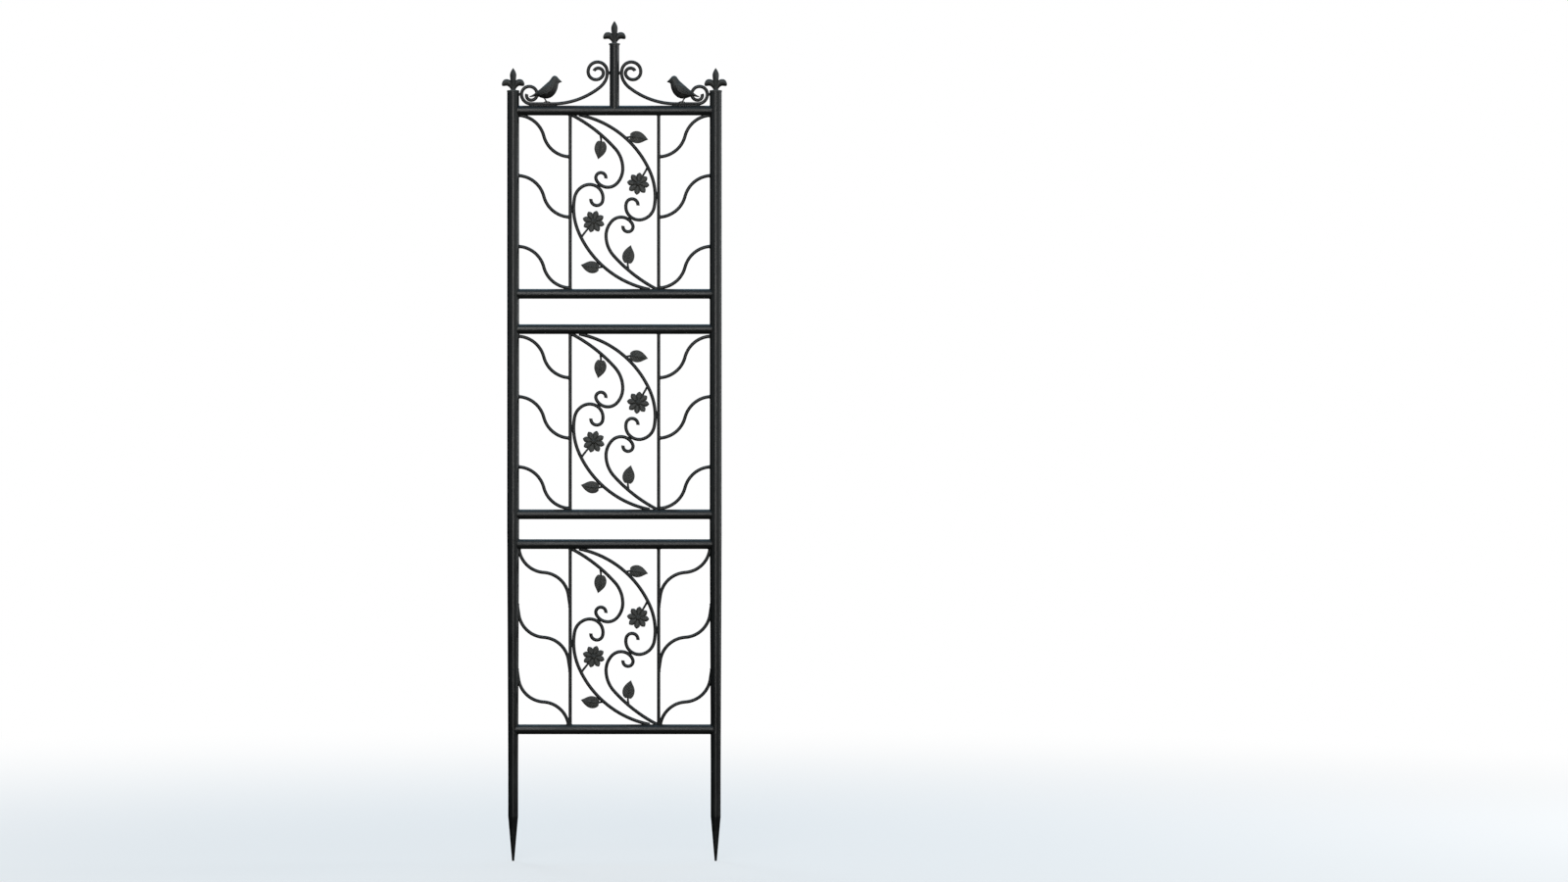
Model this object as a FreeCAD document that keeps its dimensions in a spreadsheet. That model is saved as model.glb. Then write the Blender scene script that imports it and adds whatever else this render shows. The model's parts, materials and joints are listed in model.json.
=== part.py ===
import FreeCAD, Part
import math
import os
import Sketcher

# Stake-in garden trellis panel in three plug-together sections.
# Frame: +Z up, front faces -Y, origin midway between the two stake tips.

doc = FreeCAD.newDocument("garden_trellis")

# Driving sizes in millimetres and degrees, one spreadsheet row each
SIZES = {
    # frame
    "post_spacing": 442,            # between the uprights' axes
    "post_diameter": 26.2,
    "post_wall": 1,
    "rail_diameter": 21.5,
    "rail_wall": 1,
    "rod_diameter": 7.4,
    "inner_rod_offset": 96.5,       # from the centre line to each inner rod
    "weld_gap": 0.1,                # root gap left at every welded joint
    # heights: stake tip to the lowest rail, then panel by panel
    "lowest_rail_height": 287,
    "lower_panel": 404,             # rail axis to rail axis
    "middle_panel": 404,
    "upper_panel": 400,
    "lower_space": 65,              # between the paired rails at each joint
    "upper_space": 77,
    "lower_joint_rise": 31,         # from the rail below to the plug joint
    "upper_joint_rise": 38,
    "side_post_rise": 40.5,         # from the top rail to the side tube's end
    "crest_post_rise": 143,
    "crest_post_diameter": 21,
    # plug joints and stakes
    "neck_length": 45,
    "neck_clearance": 0.3,
    "stake_diameter": 21.8,
    "stake_height": 190,            # from the tip to where the taper ends
    "stake_shoulder": 97,           # from the tip to where the point begins
    "stake_tip_diameter": 5,
    "taper_drop": 9,                # from the plug joint down to the taper's start
    # long scroll, from the rail to its curl
    "scroll_start_rise": 0.3,       # of a scroll's axis above the rail's underside
    "upper_infill_extra": 2,        # the upper panel's ironwork runs this much deeper into its rails
    "long_start_offset": 77,
    "long_contact_height": 12.4,
    "long_turn_a": 55.3,
    "long_turn_b": 23.6,
    "long_turn_c": 11,
    "long_radius_c": 120,
    "long_turn_d": 65,
    "long_radius_d": 35,
    "long_turn_e": 118,
    "long_radius_e": 29,
    "long_turn_f": 172,
    "long_radius_f": 13,
    # short scroll
    "short_start_offset": 93.2,
    "short_turn_a": 20.5,
    "short_turn_b": 42,
    "short_turn_c": 43.6,
    "short_radius_c": 46.5,
    "short_turn_d": 113,
    "short_radius_d": 27.5,
    "short_turn_e": 213,
    "short_radius_e": 11,
    "curl_contact_angle": 52,       # from the long curl's centre to the short one's
    # wave rods in the side bays
    "leg_wave_bend": 78,            # turn of each half of the S
    "leg_wave_drop": 99.7,
    "leg_wave_top_depth": 12,       # first and second starts below the panel's top rail
    "leg_wave_middle_depth": 153.5,
    "leg_wave_end_height": 9.8,     # last rod's end above the panel's bottom rail
    "wave_bend": 71,
    "wave_drop": 90.3,
    "middle_wave_top_depth": 15.6,
    "middle_wave_middle_depth": 147.3,
    "upper_wave_top_depth": 10.5,
    "upper_wave_middle_depth": 142.1,
    "wave_end_height": 13.2,
    "wave_embedding": 6,            # rod run inside the post before it is coped
    # crest scrolls
    "crest_weld_reach": 1.5,        # lug between a crest scroll and a post
    "crest_lug_diameter": 6,
    "crest_sweep_start": 135.5,     # from the centre line to where the sweep lifts off the rail
    "crest_contact_height": 82,     # above the top rail, where the volute meets the crest post
    "crest_turn_a": 38,
    "crest_turn_b": 22,
    "crest_turn_c": 30,
    "crest_radius_c": 36,
    "crest_turn_d": 12,
    "crest_radius_d": 36,
    "crest_turn_e": 181,
    "crest_radius_e": 20.7,
    "crest_turn_f": 139,
    "crest_radius_f": 17,
    "crest_turn_g": 180,
    "crest_radius_g": 11,
    "perch_radius_a": 21,
    "perch_turn_b": 180,
    "perch_radius_b": 17,
    "perch_turn_c": 90,
    "perch_radius_c": 13,
    "perch_turn_d": 110,
    "perch_radius_d": 10,
    # leaves and flowers
    "stem_diameter": 4.6,
    "leaf_length": 39.5,
    "leaf_width": 27,
    "leaf_thickness": 3,
    "leaf_rib": 2.2,
    "long_leaf_share": 55.4,         # percent of the first sweep before the stem
    "long_leaf_stem": 10,           # rod axis to leaf base
    "long_leaf_stem_angle": 18,
    "long_leaf_angle": -10,
    "short_leaf_share": 63.5,
    "short_leaf_stem": 14,
    "short_leaf_stem_angle": -86,
    "short_leaf_angle": -100,
    "flower_share": 94.4,
    "right_flower_stem": 42,        # rod axis to flower centre
    "right_flower_stem_angle": -120,
    "left_flower_stem": 44,
    "left_flower_stem_angle": -128.5,
    "petal_turn": 22,               # of the first petal from the stem
    "flower_diameter": 49,
    "flower_thickness": 6,
    "flower_heart_diameter": 12,
    "flower_heart_rise": 3,
    "petal_width": 13,
    # finials
    "side_flange_overhang": 0.6,
    "crest_flange_overhang": 1.8,
    "finial_flange": 3.5,
    "finial_plug": 14,
    "finial_plug_clearance": 0.1,
    "finial_rise": 49,
    "finial_span": 50,
    "finial_thickness": 9,
    # birds
    "bird_length": 45,
    "bird_depth": 29.5,
    "bird_width": 24,
    "bird_pitch": 42,
    "bird_rise": 25.6,              # trunk centre above the rod
    "bird_lean": 4.6,               # trunk centre ahead of the foot
    "bird_neck": 26.9,              # trunk centre to head centre
    "bird_neck_angle": 61,
    "bird_head": 17,
    "bird_beak": 16.6,              # head centre to beak tip
    "bird_beak_droop": 15,
    "bird_tail_width": 12,
    "bird_leg": 3,
    "bird_leg_lean": 29,
    "bird_foot_offset": 33.6,       # along the rod from where its curl begins
}

sheet = doc.addObject("Spreadsheet::Sheet", "Sizes")
for row, (alias, number) in enumerate(SIZES.items(), start=1):
    sheet.set(f"A{row}", alias)
    sheet.set(f"B{row}", str(number))
    sheet.setAlias(f"B{row}", alias)
doc.recompute()


class Size:
    """A number together with the spreadsheet formula that gives it."""

    def __init__(self, number, formula):
        self.number = float(number)
        self.formula = formula

    def __neg__(self):
        return Size(-self.number, f"-({self.formula})")

    def __add__(self, other):
        other = as_size(other)
        return Size(self.number + other.number, f"({self.formula} + {other.formula})")

    def __sub__(self, other):
        other = as_size(other)
        return Size(self.number - other.number, f"({self.formula} - {other.formula})")

    def __mul__(self, other):
        other = as_size(other)
        return Size(self.number * other.number, f"({self.formula} * {other.formula})")

    def __truediv__(self, other):
        other = as_size(other)
        return Size(self.number / other.number, f"({self.formula} / {other.formula})")


def as_size(value):
    return value if isinstance(value, Size) else Size(value, f"({value})")


def cell(alias):
    return Size(sheet.get(alias), f"Sizes.{alias}")


def cosine(angle):
    return Size(math.cos(math.radians(angle.number)), f"cos({angle.formula} * 1 deg)")


def sine(angle):
    return Size(math.sin(math.radians(angle.number)), f"sin({angle.formula} * 1 deg)")


def slope_angle(rise, run):
    return Size(math.degrees(math.atan2(rise.number, run.number)),
                f"(atan2({rise.formula}; {run.formula}) / 1 deg)")


def bind(item, path, size):
    item.setExpression(path, size.formula)


# ---------------------------------------------------------------- shared sizes

rod_radius = cell("rod_diameter") / 2
post_radius = cell("post_diameter") / 2
rail_radius = cell("rail_diameter") / 2
post_x = cell("post_spacing") / 2
gap = cell("weld_gap")
rod_pitch = cell("rod_diameter") + gap      # two welded rods, axis to axis
rail_to_rod = rail_radius + rod_radius + gap

lowest_rail = cell("lowest_rail_height")
lower_top_rail = lowest_rail + cell("lower_panel")
middle_bottom_rail = lower_top_rail + cell("lower_space")
middle_top_rail = middle_bottom_rail + cell("middle_panel")
upper_bottom_rail = middle_top_rail + cell("upper_space")
upper_top_rail = upper_bottom_rail + cell("upper_panel")
lower_joint = lower_top_rail + cell("lower_joint_rise")
upper_joint = middle_top_rail + cell("upper_joint_rise")
side_post_top = upper_top_rail + cell("side_post_rise")
crest_post_top = upper_top_rail + cell("crest_post_rise")
taper_start = lower_joint - cell("taper_drop")
neck_radius = post_radius - cell("post_wall") - cell("neck_clearance")


def leg_radius(height):
    """Outside radius of a tapered leg at a height above the stake tips."""
    stake_radius = cell("stake_diameter") / 2
    rise = (height - cell("stake_height")) / (taper_start - cell("stake_height"))
    return stake_radius + (post_radius - stake_radius) * rise


# ---------------------------------------------------------------- modelling helpers

def new_body(name):
    body = doc.addObject("PartDesign::Body", name)
    body.Label = name
    body.AllowCompound = True
    return body


def origin_feature(body, role):
    return next(item for item in body.Origin.OriginFeatures if item.Role == role)


def new_sketch(body, name, plane):
    sketch = body.newObject("Sketcher::SketchObject", name)
    sketch.AttachmentSupport = [(origin_feature(body, plane), "")]
    sketch.MapMode = "FlatFace"
    return sketch


def shift_sketch(sketch, x=None, y=None, z=None, turn=None, axis=(0, 0, 1)):
    """Moves a sketch on its plane; x, y and z are along the sketch's own axes."""
    sketch.AttachmentOffset = FreeCAD.Placement(
        FreeCAD.Vector(*(part.number if part else 0 for part in (x, y, z))),
        FreeCAD.Rotation(FreeCAD.Vector(*axis), turn.number if turn else 0))
    for letter, part in (("x", x), ("y", y), ("z", z)):
        if part:
            bind(sketch, f".AttachmentOffset.Base.{letter}", part)
    if turn:
        bind(sketch, ".AttachmentOffset.Rotation.Angle", turn)


def constrain(sketch, size, kind, *where):
    """Adds a dimension whose value follows the spreadsheet."""
    number = math.radians(size.number) if kind == "Angle" else size.number
    index = sketch.addConstraint(Sketcher.Constraint(kind, *where, number))
    formula = f"{size.formula} * 1 deg" if kind == "Angle" else size.formula
    sketch.setExpression(f"Constraints[{index}]", formula)


def pin(sketch, geometry, point, x, z):
    constrain(sketch, x, "DistanceX", -1, 1, geometry, point)
    constrain(sketch, z, "DistanceY", -1, 1, geometry, point)


def draw_circle(sketch, diameter, x=None, y=None):
    centre = FreeCAD.Vector(x.number if x else 0, y.number if y else 0, 0)
    circle = Part.Circle(centre, FreeCAD.Vector(0, 0, 1), diameter.number / 2)
    geometry = sketch.addGeometry(circle, False)
    constrain(sketch, diameter, "Diameter", geometry)
    if x is None and y is None:
        sketch.addConstraint(Sketcher.Constraint("Coincident", geometry, 3, -1, 1))
        return
    pin(sketch, geometry, 3, x or as_size(0), y or as_size(0))


def draw_outline(sketch, points):
    """Closed outline of straight lines through (x, y) sizes."""
    flat = [FreeCAD.Vector(x.number, y.number, 0) for x, y in points]
    lines = [sketch.addGeometry(Part.LineSegment(start, end), False)
             for start, end in zip(flat, flat[1:] + flat[:1])]
    for line, following in zip(lines, lines[1:] + lines[:1]):
        sketch.addConstraint(Sketcher.Constraint("Coincident", line, 2, following, 1))
    for line, (x, y) in zip(lines, points):
        pin(sketch, line, 1, x, y)


def circle_through(first, middle, last):
    """Centre of the circle through three (x, y) points."""
    (ax, ay), (bx, by), (cx, cy) = first, middle, last
    twice = 2 * (ax * (by - cy) + bx * (cy - ay) + cx * (ay - by))
    a2, b2, c2 = ax * ax + ay * ay, bx * bx + by * by, cx * cx + cy * cy
    return ((a2 * (by - cy) + b2 * (cy - ay) + c2 * (ay - by)) / twice,
            (a2 * (cx - bx) + b2 * (ax - cx) + c2 * (bx - ax)) / twice)


def draw_arc_outline(sketch, points):
    """Closed outline of arcs: (x, y) corners in turn with the (x, y) crown of the arc between."""
    corners = points[0::2]
    crowns = points[1::2]
    arcs = []
    for corner, crown, end in zip(corners, crowns, corners[1:] + corners[:1]):
        flat = [(x.number, y.number) for x, y in (corner, crown, end)]
        x, y = circle_through(*flat)
        angles = [math.atan2(py - y, px - x) for px, py in flat]
        left = (angles[1] - angles[0]) % math.tau < (angles[2] - angles[0]) % math.tau
        low, high = (angles[0], angles[2]) if left else (angles[2], angles[0])
        circle = Part.Circle(FreeCAD.Vector(x, y, 0), FreeCAD.Vector(0, 0, 1), math.dist(flat[0], (x, y)))
        geometry = sketch.addGeometry(Part.ArcOfCircle(circle, low, low + (high - low) % math.tau), False)
        arcs.append((geometry, 1 if left else 2))
    for (one, start), (other, other_start) in zip(arcs, arcs[1:] + arcs[:1]):
        sketch.addConstraint(Sketcher.Constraint("Coincident", one, 3 - start, other, other_start))
    for (geometry, start), corner, crown in zip(arcs, corners, crowns):
        pin(sketch, geometry, start, *corner)
        mark = sketch.addGeometry(Part.Point(FreeCAD.Vector(crown[0].number, crown[1].number, 0)), True)
        pin(sketch, mark, 1, *crown)
        sketch.addConstraint(Sketcher.Constraint("PointOnObject", mark, 1, geometry))


def pad(body, sketch, length, both_ways=True):
    feature = body.newObject("PartDesign::Pad", sketch.Name + "_pad")
    feature.Profile = (sketch, [""])
    feature.Midplane = both_ways
    bind(feature, "Length", length)
    return feature


def revolve(body, sketch, kind="Revolution"):
    feature = body.newObject(f"PartDesign::{kind}", f"{sketch.Name}_{kind.lower()}")
    feature.Profile = (sketch, [""])
    feature.ReferenceAxis = (sketch, ["V_Axis"])
    feature.Angle = 360
    return feature


def cut_through(body, sketch):
    feature = body.newObject("PartDesign::Pocket", sketch.Name + "_pocket")
    feature.Profile = (sketch, [""])
    feature.Type = "ThroughAll"
    feature.Midplane = True
    return feature


def polar_pattern(body, features, count):
    pattern = body.newObject("PartDesign::PolarPattern", body.Name + "_pattern")
    pattern.Originals = features
    pattern.Axis = (origin_feature(body, "Y_Axis"), [""])
    pattern.Angle = 360
    pattern.Occurrences = count
    body.Tip = pattern


def place(body, x=None, z=None, turn=0, axis=(0, 0, 1)):
    """Sets a body in the trellis frame; x and z follow the spreadsheet."""
    body.Placement = FreeCAD.Placement(
        FreeCAD.Vector(x.number if x else 0, 0, z.number if z else 0),
        FreeCAD.Rotation(FreeCAD.Vector(*axis), turn))
    if x:
        bind(body, ".Placement.Base.x", x)
    if z:
        bind(body, ".Placement.Base.z", z)


# ---------------------------------------------------------------- bent rods

class Bend:
    """One arc of a bent rod; a positive turn is to the left, seen from the front."""

    def __init__(self, turn, radius=None):
        self.turn = turn
        self.radius = radius        # None: found from the point that the rod must reach

    def step(self, heading):
        """Displacement of this arc for a radius of 1."""
        sign = math.copysign(1, self.turn.number)
        first = math.radians(heading)
        last = math.radians(heading + self.turn.number)
        return (sign * (math.sin(last) - math.sin(first)),
                sign * (math.cos(first) - math.cos(last)))


def find_radii(start, end, heading, bends):
    """Radii that take two bends from start to end."""
    ax, az = bends[0].step(heading)
    bx, bz = bends[1].step(heading + bends[0].turn.number)
    dx = end[0] - start[0]
    dz = end[1] - start[1]
    spread = ax * bz - az * bx
    return [(dx * bz - dz * bx) / spread, (ax * dz - az * dx) / spread]


def follow(start, heading, bends, radii):
    """Points and headings at the ends of each bend, start included."""
    stations = [(start[0], start[1], heading)]
    for bend, radius in zip(bends, radii):
        x, z, heading = stations[-1]
        dx, dz = bend.step(heading)
        stations.append((x + radius * dx, z + radius * dz, heading + bend.turn.number))
    return stations


def arc_centre(station, bend, radius):
    x, z, heading = station
    side = math.copysign(radius, bend.turn.number)
    return (x - side * math.sin(math.radians(heading)), z + side * math.cos(math.radians(heading)))


def draw_bends(sketch, stations, bends, radii):
    """Tangent arcs in order; returns (geometry, first point, last point) for each."""
    drawn = []
    for station, bend, radius in zip(stations, bends, radii):
        x, z = arc_centre(station, bend, radius)
        left = bend.turn.number > 0
        from_angle = math.atan2(station[1] - z, station[0] - x)
        to_angle = from_angle + math.radians(bend.turn.number)
        low, high = sorted((from_angle, to_angle))
        circle = Part.Circle(FreeCAD.Vector(x, z, 0), FreeCAD.Vector(0, 0, 1), radius)
        geometry = sketch.addGeometry(Part.ArcOfCircle(circle, low, high), False)
        drawn.append((geometry, 1, 2) if left else (geometry, 2, 1))
    for (one, _, last), (other, first, _) in zip(drawn, drawn[1:]):
        sketch.addConstraint(Sketcher.Constraint("Tangent", one, last, other, first))
    for (geometry, _, _), bend in zip(drawn, bends):
        angle = bend.turn if bend.turn.number > 0 else -bend.turn
        constrain(sketch, angle, "Angle", geometry)
        if bend.radius is not None:
            constrain(sketch, bend.radius, "Radius", geometry)
    return drawn


def sweep_rod(body, spine, x, z, heading, diameter, kind="AdditivePipe"):
    """Round rod along a spine that starts at x, z and leaves it at a heading."""
    section = new_sketch(body, spine.Name + "_section", "XY_Plane")
    shift_sketch(section, x=x, z=z, turn=as_size(90) - heading, axis=(0, 1, 0))
    draw_circle(section, diameter)
    feature = body.newObject(f"PartDesign::{kind}", spine.Name + "_rod")
    feature.Profile = (section, [""])
    edges = [geometry for geometry in spine.Geometry if not geometry.TypeId.endswith("Point")]
    feature.Spine = (spine, [f"Edge{number + 1}" for number in range(len(edges))])
    return feature


def wave_rod(body, name, start_x, start_z, end_x, end_z, bend, steep_ends):
    """S-bend of two equal arcs between two points, with straight ends to cope."""
    chord = slope_angle(start_z - end_z, end_x - start_x)
    slope = chord + bend / 2 if steep_ends else chord - bend / 2
    turn = bend if steep_ends else -bend
    bends = [Bend(turn), Bend(-turn)]
    start = (start_x.number, start_z.number)
    end = (end_x.number, end_z.number)
    radius = math.dist(start, end) / (4 * math.sin(math.radians(bend.number / 2)))
    radii = [radius, radius]
    stations = follow(start, -slope.number, bends, radii)
    spine = new_sketch(body, name, "XZ_Plane")
    drawn = draw_bends(spine, stations, bends, radii)
    spine.addConstraint(Sketcher.Constraint("Equal", drawn[0][0], drawn[1][0]))
    tail = rod_radius / cosine(slope)
    lead = tail + cell("wave_embedding")
    run = FreeCAD.Vector(cosine(slope).number, -sine(slope).number, 0)
    for geometry, point, x, z, length in ((drawn[0][0], drawn[0][1], start_x, start_z, -lead.number),
                                          (drawn[1][0], drawn[1][2], end_x, end_z, tail.number)):
        joint = FreeCAD.Vector(x.number, z.number, 0)
        line = spine.addGeometry(Part.LineSegment(joint, joint + run * length), False)
        spine.addConstraint(Sketcher.Constraint("Tangent", geometry, point, line, 1))
        constrain(spine, lead if length < 0 else tail, "Distance", line)
        pin(spine, line, 1, x, z)
    return sweep_rod(body, spine, start_x - lead * cosine(slope), start_z + lead * sine(slope),
                     -slope, cell("rod_diameter"))


# ---------------------------------------------------------------- tubes and rails

def tube_body(name, outline, bore):
    """Turned tube: an outside outline and a bore outline, each (radius, height) sizes."""
    body = new_body(name)
    outside = new_sketch(body, name + "_outside", "XZ_Plane")
    draw_outline(outside, outline)
    revolve(body, outside)
    inside = new_sketch(body, name + "_bore", "XZ_Plane")
    draw_outline(inside, bore)
    revolve(body, inside, "Groove")
    return body


def necked_top(shoulder):
    """Outline points of a swaged neck above a shoulder, from the outside inwards."""
    return [(post_radius, shoulder), (neck_radius, shoulder),
            (neck_radius, shoulder + cell("neck_length")),
            (as_size(0), shoulder + cell("neck_length"))]


def leg(name, side):
    axis = as_size(0)
    wall = cell("post_wall")
    stake_radius = cell("stake_diameter") / 2
    tip_radius = cell("stake_tip_diameter") / 2
    outline = [(axis, axis), (tip_radius, axis), (stake_radius, cell("stake_shoulder")),
               (stake_radius, cell("stake_height")), (post_radius, taper_start)]
    bore = [(axis, cell("stake_shoulder")), (stake_radius - wall, cell("stake_shoulder")),
            (stake_radius - wall, cell("stake_height")), (neck_radius - wall, taper_start),
            (neck_radius - wall, lower_joint + cell("neck_length")),
            (axis, lower_joint + cell("neck_length"))]
    body = tube_body(name, outline + necked_top(lower_joint), bore)
    place(body, x=post_x * side)


def straight_tube(name, side, bottom, top, with_neck):
    axis = as_size(0)
    wall_radius = post_radius - cell("post_wall")
    outline = [(axis, bottom), (post_radius, bottom)]
    if with_neck:
        narrow = neck_radius - cell("post_wall")
        neck_top = top + cell("neck_length")
        outline += necked_top(top)
        bore = [(axis, bottom), (wall_radius, bottom), (wall_radius, top - cell("neck_length")),
                (narrow, top), (narrow, neck_top), (axis, neck_top)]
    else:
        outline += [(post_radius, top), (axis, top)]
        bore = [(axis, bottom), (wall_radius, bottom), (wall_radius, top), (axis, top)]
    body = tube_body(name, outline, bore)
    place(body, x=post_x * side)


def cope_to_posts(body, name, rail_height, sides, low, high, tapered):
    """Hollows a body's ends to the uprights between two heights of its own frame."""
    for side in sides:
        sketch = new_sketch(body, f"{name}_cope_{'left' if side < 0 else 'right'}", "XZ_Plane")
        shift_sketch(sketch, x=post_x * side)
        radii = [post_radius, post_radius]
        if tapered:
            radii = [leg_radius(rail_height + low), leg_radius(rail_height + high)]
        axis = as_size(0)
        draw_outline(sketch, [(axis, low), (radii[0] + gap, low), (radii[1] + gap, high), (axis, high)])
        revolve(body, sketch, "Groove")


def rail(name, height, tapered=False):
    body = new_body(name)
    for part, diameter in (("outside", cell("rail_diameter")),
                           ("bore", cell("rail_diameter") - cell("rail_wall") * 2)):
        sketch = new_sketch(body, f"{name}_{part}", "YZ_Plane")
        draw_circle(sketch, diameter)
        if part == "outside":
            pad(body, sketch, post_x * 2)
        else:
            cut_through(body, sketch)
    cope_to_posts(body, name, height, (-1, 1), -cell("rail_diameter"), cell("rail_diameter"), tapered)
    place(body, z=height)


def inner_rod(name, side, centre, panel):
    body = new_body(name)
    sketch = new_sketch(body, name + "_section", "XY_Plane")
    draw_circle(sketch, cell("rod_diameter"))
    pad(body, sketch, panel)
    cope_to_rails(body, name, panel)
    place(body, x=cell("inner_rod_offset") * side, z=centre)


def cope_to_rails(body, name, panel):
    sketch = new_sketch(body, name + "_rail_cope", "YZ_Plane")
    for sign in (-1, 1):
        draw_circle(sketch, cell("rail_diameter") + gap * 2, x=as_size(0), y=panel / 2 * sign)
    cut_through(body, sketch)


def trim_past_rails(body, name, panel):
    """Takes off what runs out through a rail on the far side of its axis."""
    sketch = new_sketch(body, name + "_trim", "YZ_Plane")
    for sign in (-1, 1):
        axis_z = panel / 2 * sign
        far_z = axis_z + cell("rail_diameter") * 3 * sign
        draw_outline(sketch, [(-rail_radius, axis_z), (rail_radius, axis_z),
                              (rail_radius, far_z), (-rail_radius, far_z)])
    cut_through(body, sketch)


def cope_to_inner_rod(body, name):
    sketch = new_sketch(body, name + "_rod_cope", "XY_Plane")
    draw_circle(sketch, cell("rod_diameter") + gap * 2, x=-cell("inner_rod_offset"))
    cut_through(body, sketch)


# ---------------------------------------------------------------- panel ironwork

def wave_rods(section, hand, centre, panel):
    """The three wave rods of one side bay, drawn on the left and turned for the right."""
    name = f"{section}_{hand}_wave_rods"
    body = new_body(name)
    half = panel / 2
    on_leg = section == "lower"
    style = "leg_wave" if on_leg else "wave"
    depths = "leg_wave" if on_leg else f"{section}_wave"
    drop = cell(f"{style}_drop")
    starts = [half - cell(f"{depths}_top_depth"), half - cell(f"{depths}_middle_depth"),
              cell(f"{style}_end_height") - half + drop]
    rod_face = -cell("inner_rod_offset") - rod_radius
    for number, start in enumerate(starts, start=1):
        face = leg_radius(centre + start) if on_leg else post_radius
        wave_rod(body, f"{name}_{number}", -post_x + face, start, rod_face, start - drop,
                 cell(f"{style}_bend"), on_leg)
    cope_to_posts(body, name, centre, (-1,), -half, half, on_leg)
    cope_to_inner_rod(body, name)
    cope_to_rails(body, name, panel)
    trim_past_rails(body, name, panel)
    place(body, z=centre, turn=0 if hand == "left" else 180)


class Scroll:
    """A sweep of two bends from the rail to a belly, then a curl of fixed bends."""

    def __init__(self, kind, infill, curl_letters):
        self.start_x = -cell(f"{kind}_start_offset")
        self.start_z = infill / 2 - rail_radius - gap + cell("scroll_start_rise")
        self.turns = [cell(f"{kind}_turn_a"), cell(f"{kind}_turn_b")]
        self.heading = self.turns[0] + self.turns[1] - 90
        self.curl = [Bend(-cell(f"{kind}_turn_{letter}"), cell(f"{kind}_radius_{letter}"))
                     for letter in curl_letters]
        self.bends = [Bend(-turn) for turn in self.turns] + self.curl

    def reach(self, belly):
        start = (self.start_x.number, self.start_z.number)
        swept = find_radii(start, belly, self.heading.number, self.bends)
        self.radii = swept + [bend.radius.number for bend in self.curl]
        self.stations = follow(start, self.heading.number, self.bends, self.radii)

    def centre(self, index):
        return arc_centre(self.stations[index], self.bends[index], self.radii[index])

    def point_on_sweep(self, percent):
        """Point and heading part of the way round the first bend."""
        part = Bend(self.bends[0].turn * percent / 100)
        dx, dz = part.step(self.heading.number)
        x, z, heading = self.stations[0]
        return (as_size(x + self.radii[0] * dx), as_size(z + self.radii[0] * dz),
                as_size(heading + part.turn.number))

    def draw(self, name, turn, centre, panel):
        body = new_body(name)
        spine = new_sketch(body, name + "_spine", "XZ_Plane")
        drawn = draw_bends(spine, self.stations, self.bends, self.radii)
        pin(spine, drawn[0][0], drawn[0][1], self.start_x, self.start_z)
        # the belly, where the rod runs straight down, lies level with its arc's centre
        spine.addConstraint(Sketcher.Constraint("Horizontal", drawn[1][0], 3, drawn[1][0], drawn[1][2]))
        sweep_rod(body, spine, self.start_x, self.start_z, self.heading, cell("rod_diameter"))
        cope_to_rails(body, name, panel)
        cope_to_inner_rod(body, name)
        place(body, z=centre, turn=turn, axis=(0, 1, 0))
        return spine, drawn


def long_scroll(infill):
    scroll = Scroll("long", infill, "cdef")
    scroll.belly = (cell("inner_rod_offset") - rod_pitch, cell("long_contact_height"))
    scroll.reach([size.number for size in scroll.belly])
    return scroll


def short_scroll(infill, long_one, long_spine):
    """Its curl lies against the curl of the long scroll that comes from the other rail."""
    scroll = Scroll("short", infill, "cde")
    reach = cell("long_radius_e") + cell("short_radius_d") + rod_pitch
    angle = cell("curl_contact_angle")
    other_x, other_z = long_one.centre(4)
    curl_x = Size(-other_x, f"-{long_spine}.Constraints.curl_x / 1 mm") + reach * cosine(angle)
    curl_z = Size(-other_z, f"-{long_spine}.Constraints.curl_z / 1 mm") + reach * sine(angle)
    scroll.curl_centre = (curl_x, curl_z)
    heading = -90 - cell("short_turn_c").number
    bend = scroll.curl[1]
    back_x, back_z = arc_centre((0, 0, heading), bend, bend.radius.number)
    dx, dz = scroll.curl[0].step(-90)
    radius = scroll.curl[0].radius.number
    scroll.reach((curl_x.number - back_x - radius * dx, curl_z.number - back_z - radius * dz))
    return scroll


def panel_scrolls(section, centre, panel):
    """The two long and two short scrolls of one panel, alike under a half turn."""
    infill = panel + cell("upper_infill_extra") if section == "upper" else panel
    long_one = long_scroll(infill)
    for side, turn in (("right", 0), ("left", 180)):
        name = f"{section}_{side}_long_scroll"
        spine, drawn = long_one.draw(name, turn, centre, panel)
        pin(spine, drawn[1][0], drawn[1][2], *long_one.belly)
        curl = drawn[4][0]
        for label, kind, number in zip(("curl_x", "curl_z"), ("DistanceX", "DistanceY"), long_one.centre(4)):
            index = spine.addConstraint(Sketcher.Constraint(kind, -1, 1, curl, 3, number))
            spine.setDriving(index, False)
            spine.renameConstraint(index, label)
    doc.recompute()
    short_one = short_scroll(infill, long_one, f"{section}_right_long_scroll_spine")
    for side, turn in (("left", 0), ("right", 180)):
        spine, drawn = short_one.draw(f"{section}_{side}_short_scroll", turn, centre, panel)
        pin(spine, drawn[3][0], 3, *short_one.curl_centre)
    return long_one, short_one


def stem(body, name, x, z, angle, first, last):
    """Round stem at an angle from (x, z), between two distances from there."""
    sketch = new_sketch(body, name + "_stem", "XZ_Plane")
    # a turned piece follows its sketch's upright axis, so that axis is laid along the stem
    shift_sketch(sketch, x=x, y=z, turn=angle - 90)
    radius = cell("stem_diameter") / 2
    zero = as_size(0)
    draw_outline(sketch, [(zero, first), (radius, first), (radius, last), (zero, last)])
    return revolve(body, sketch)


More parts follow.
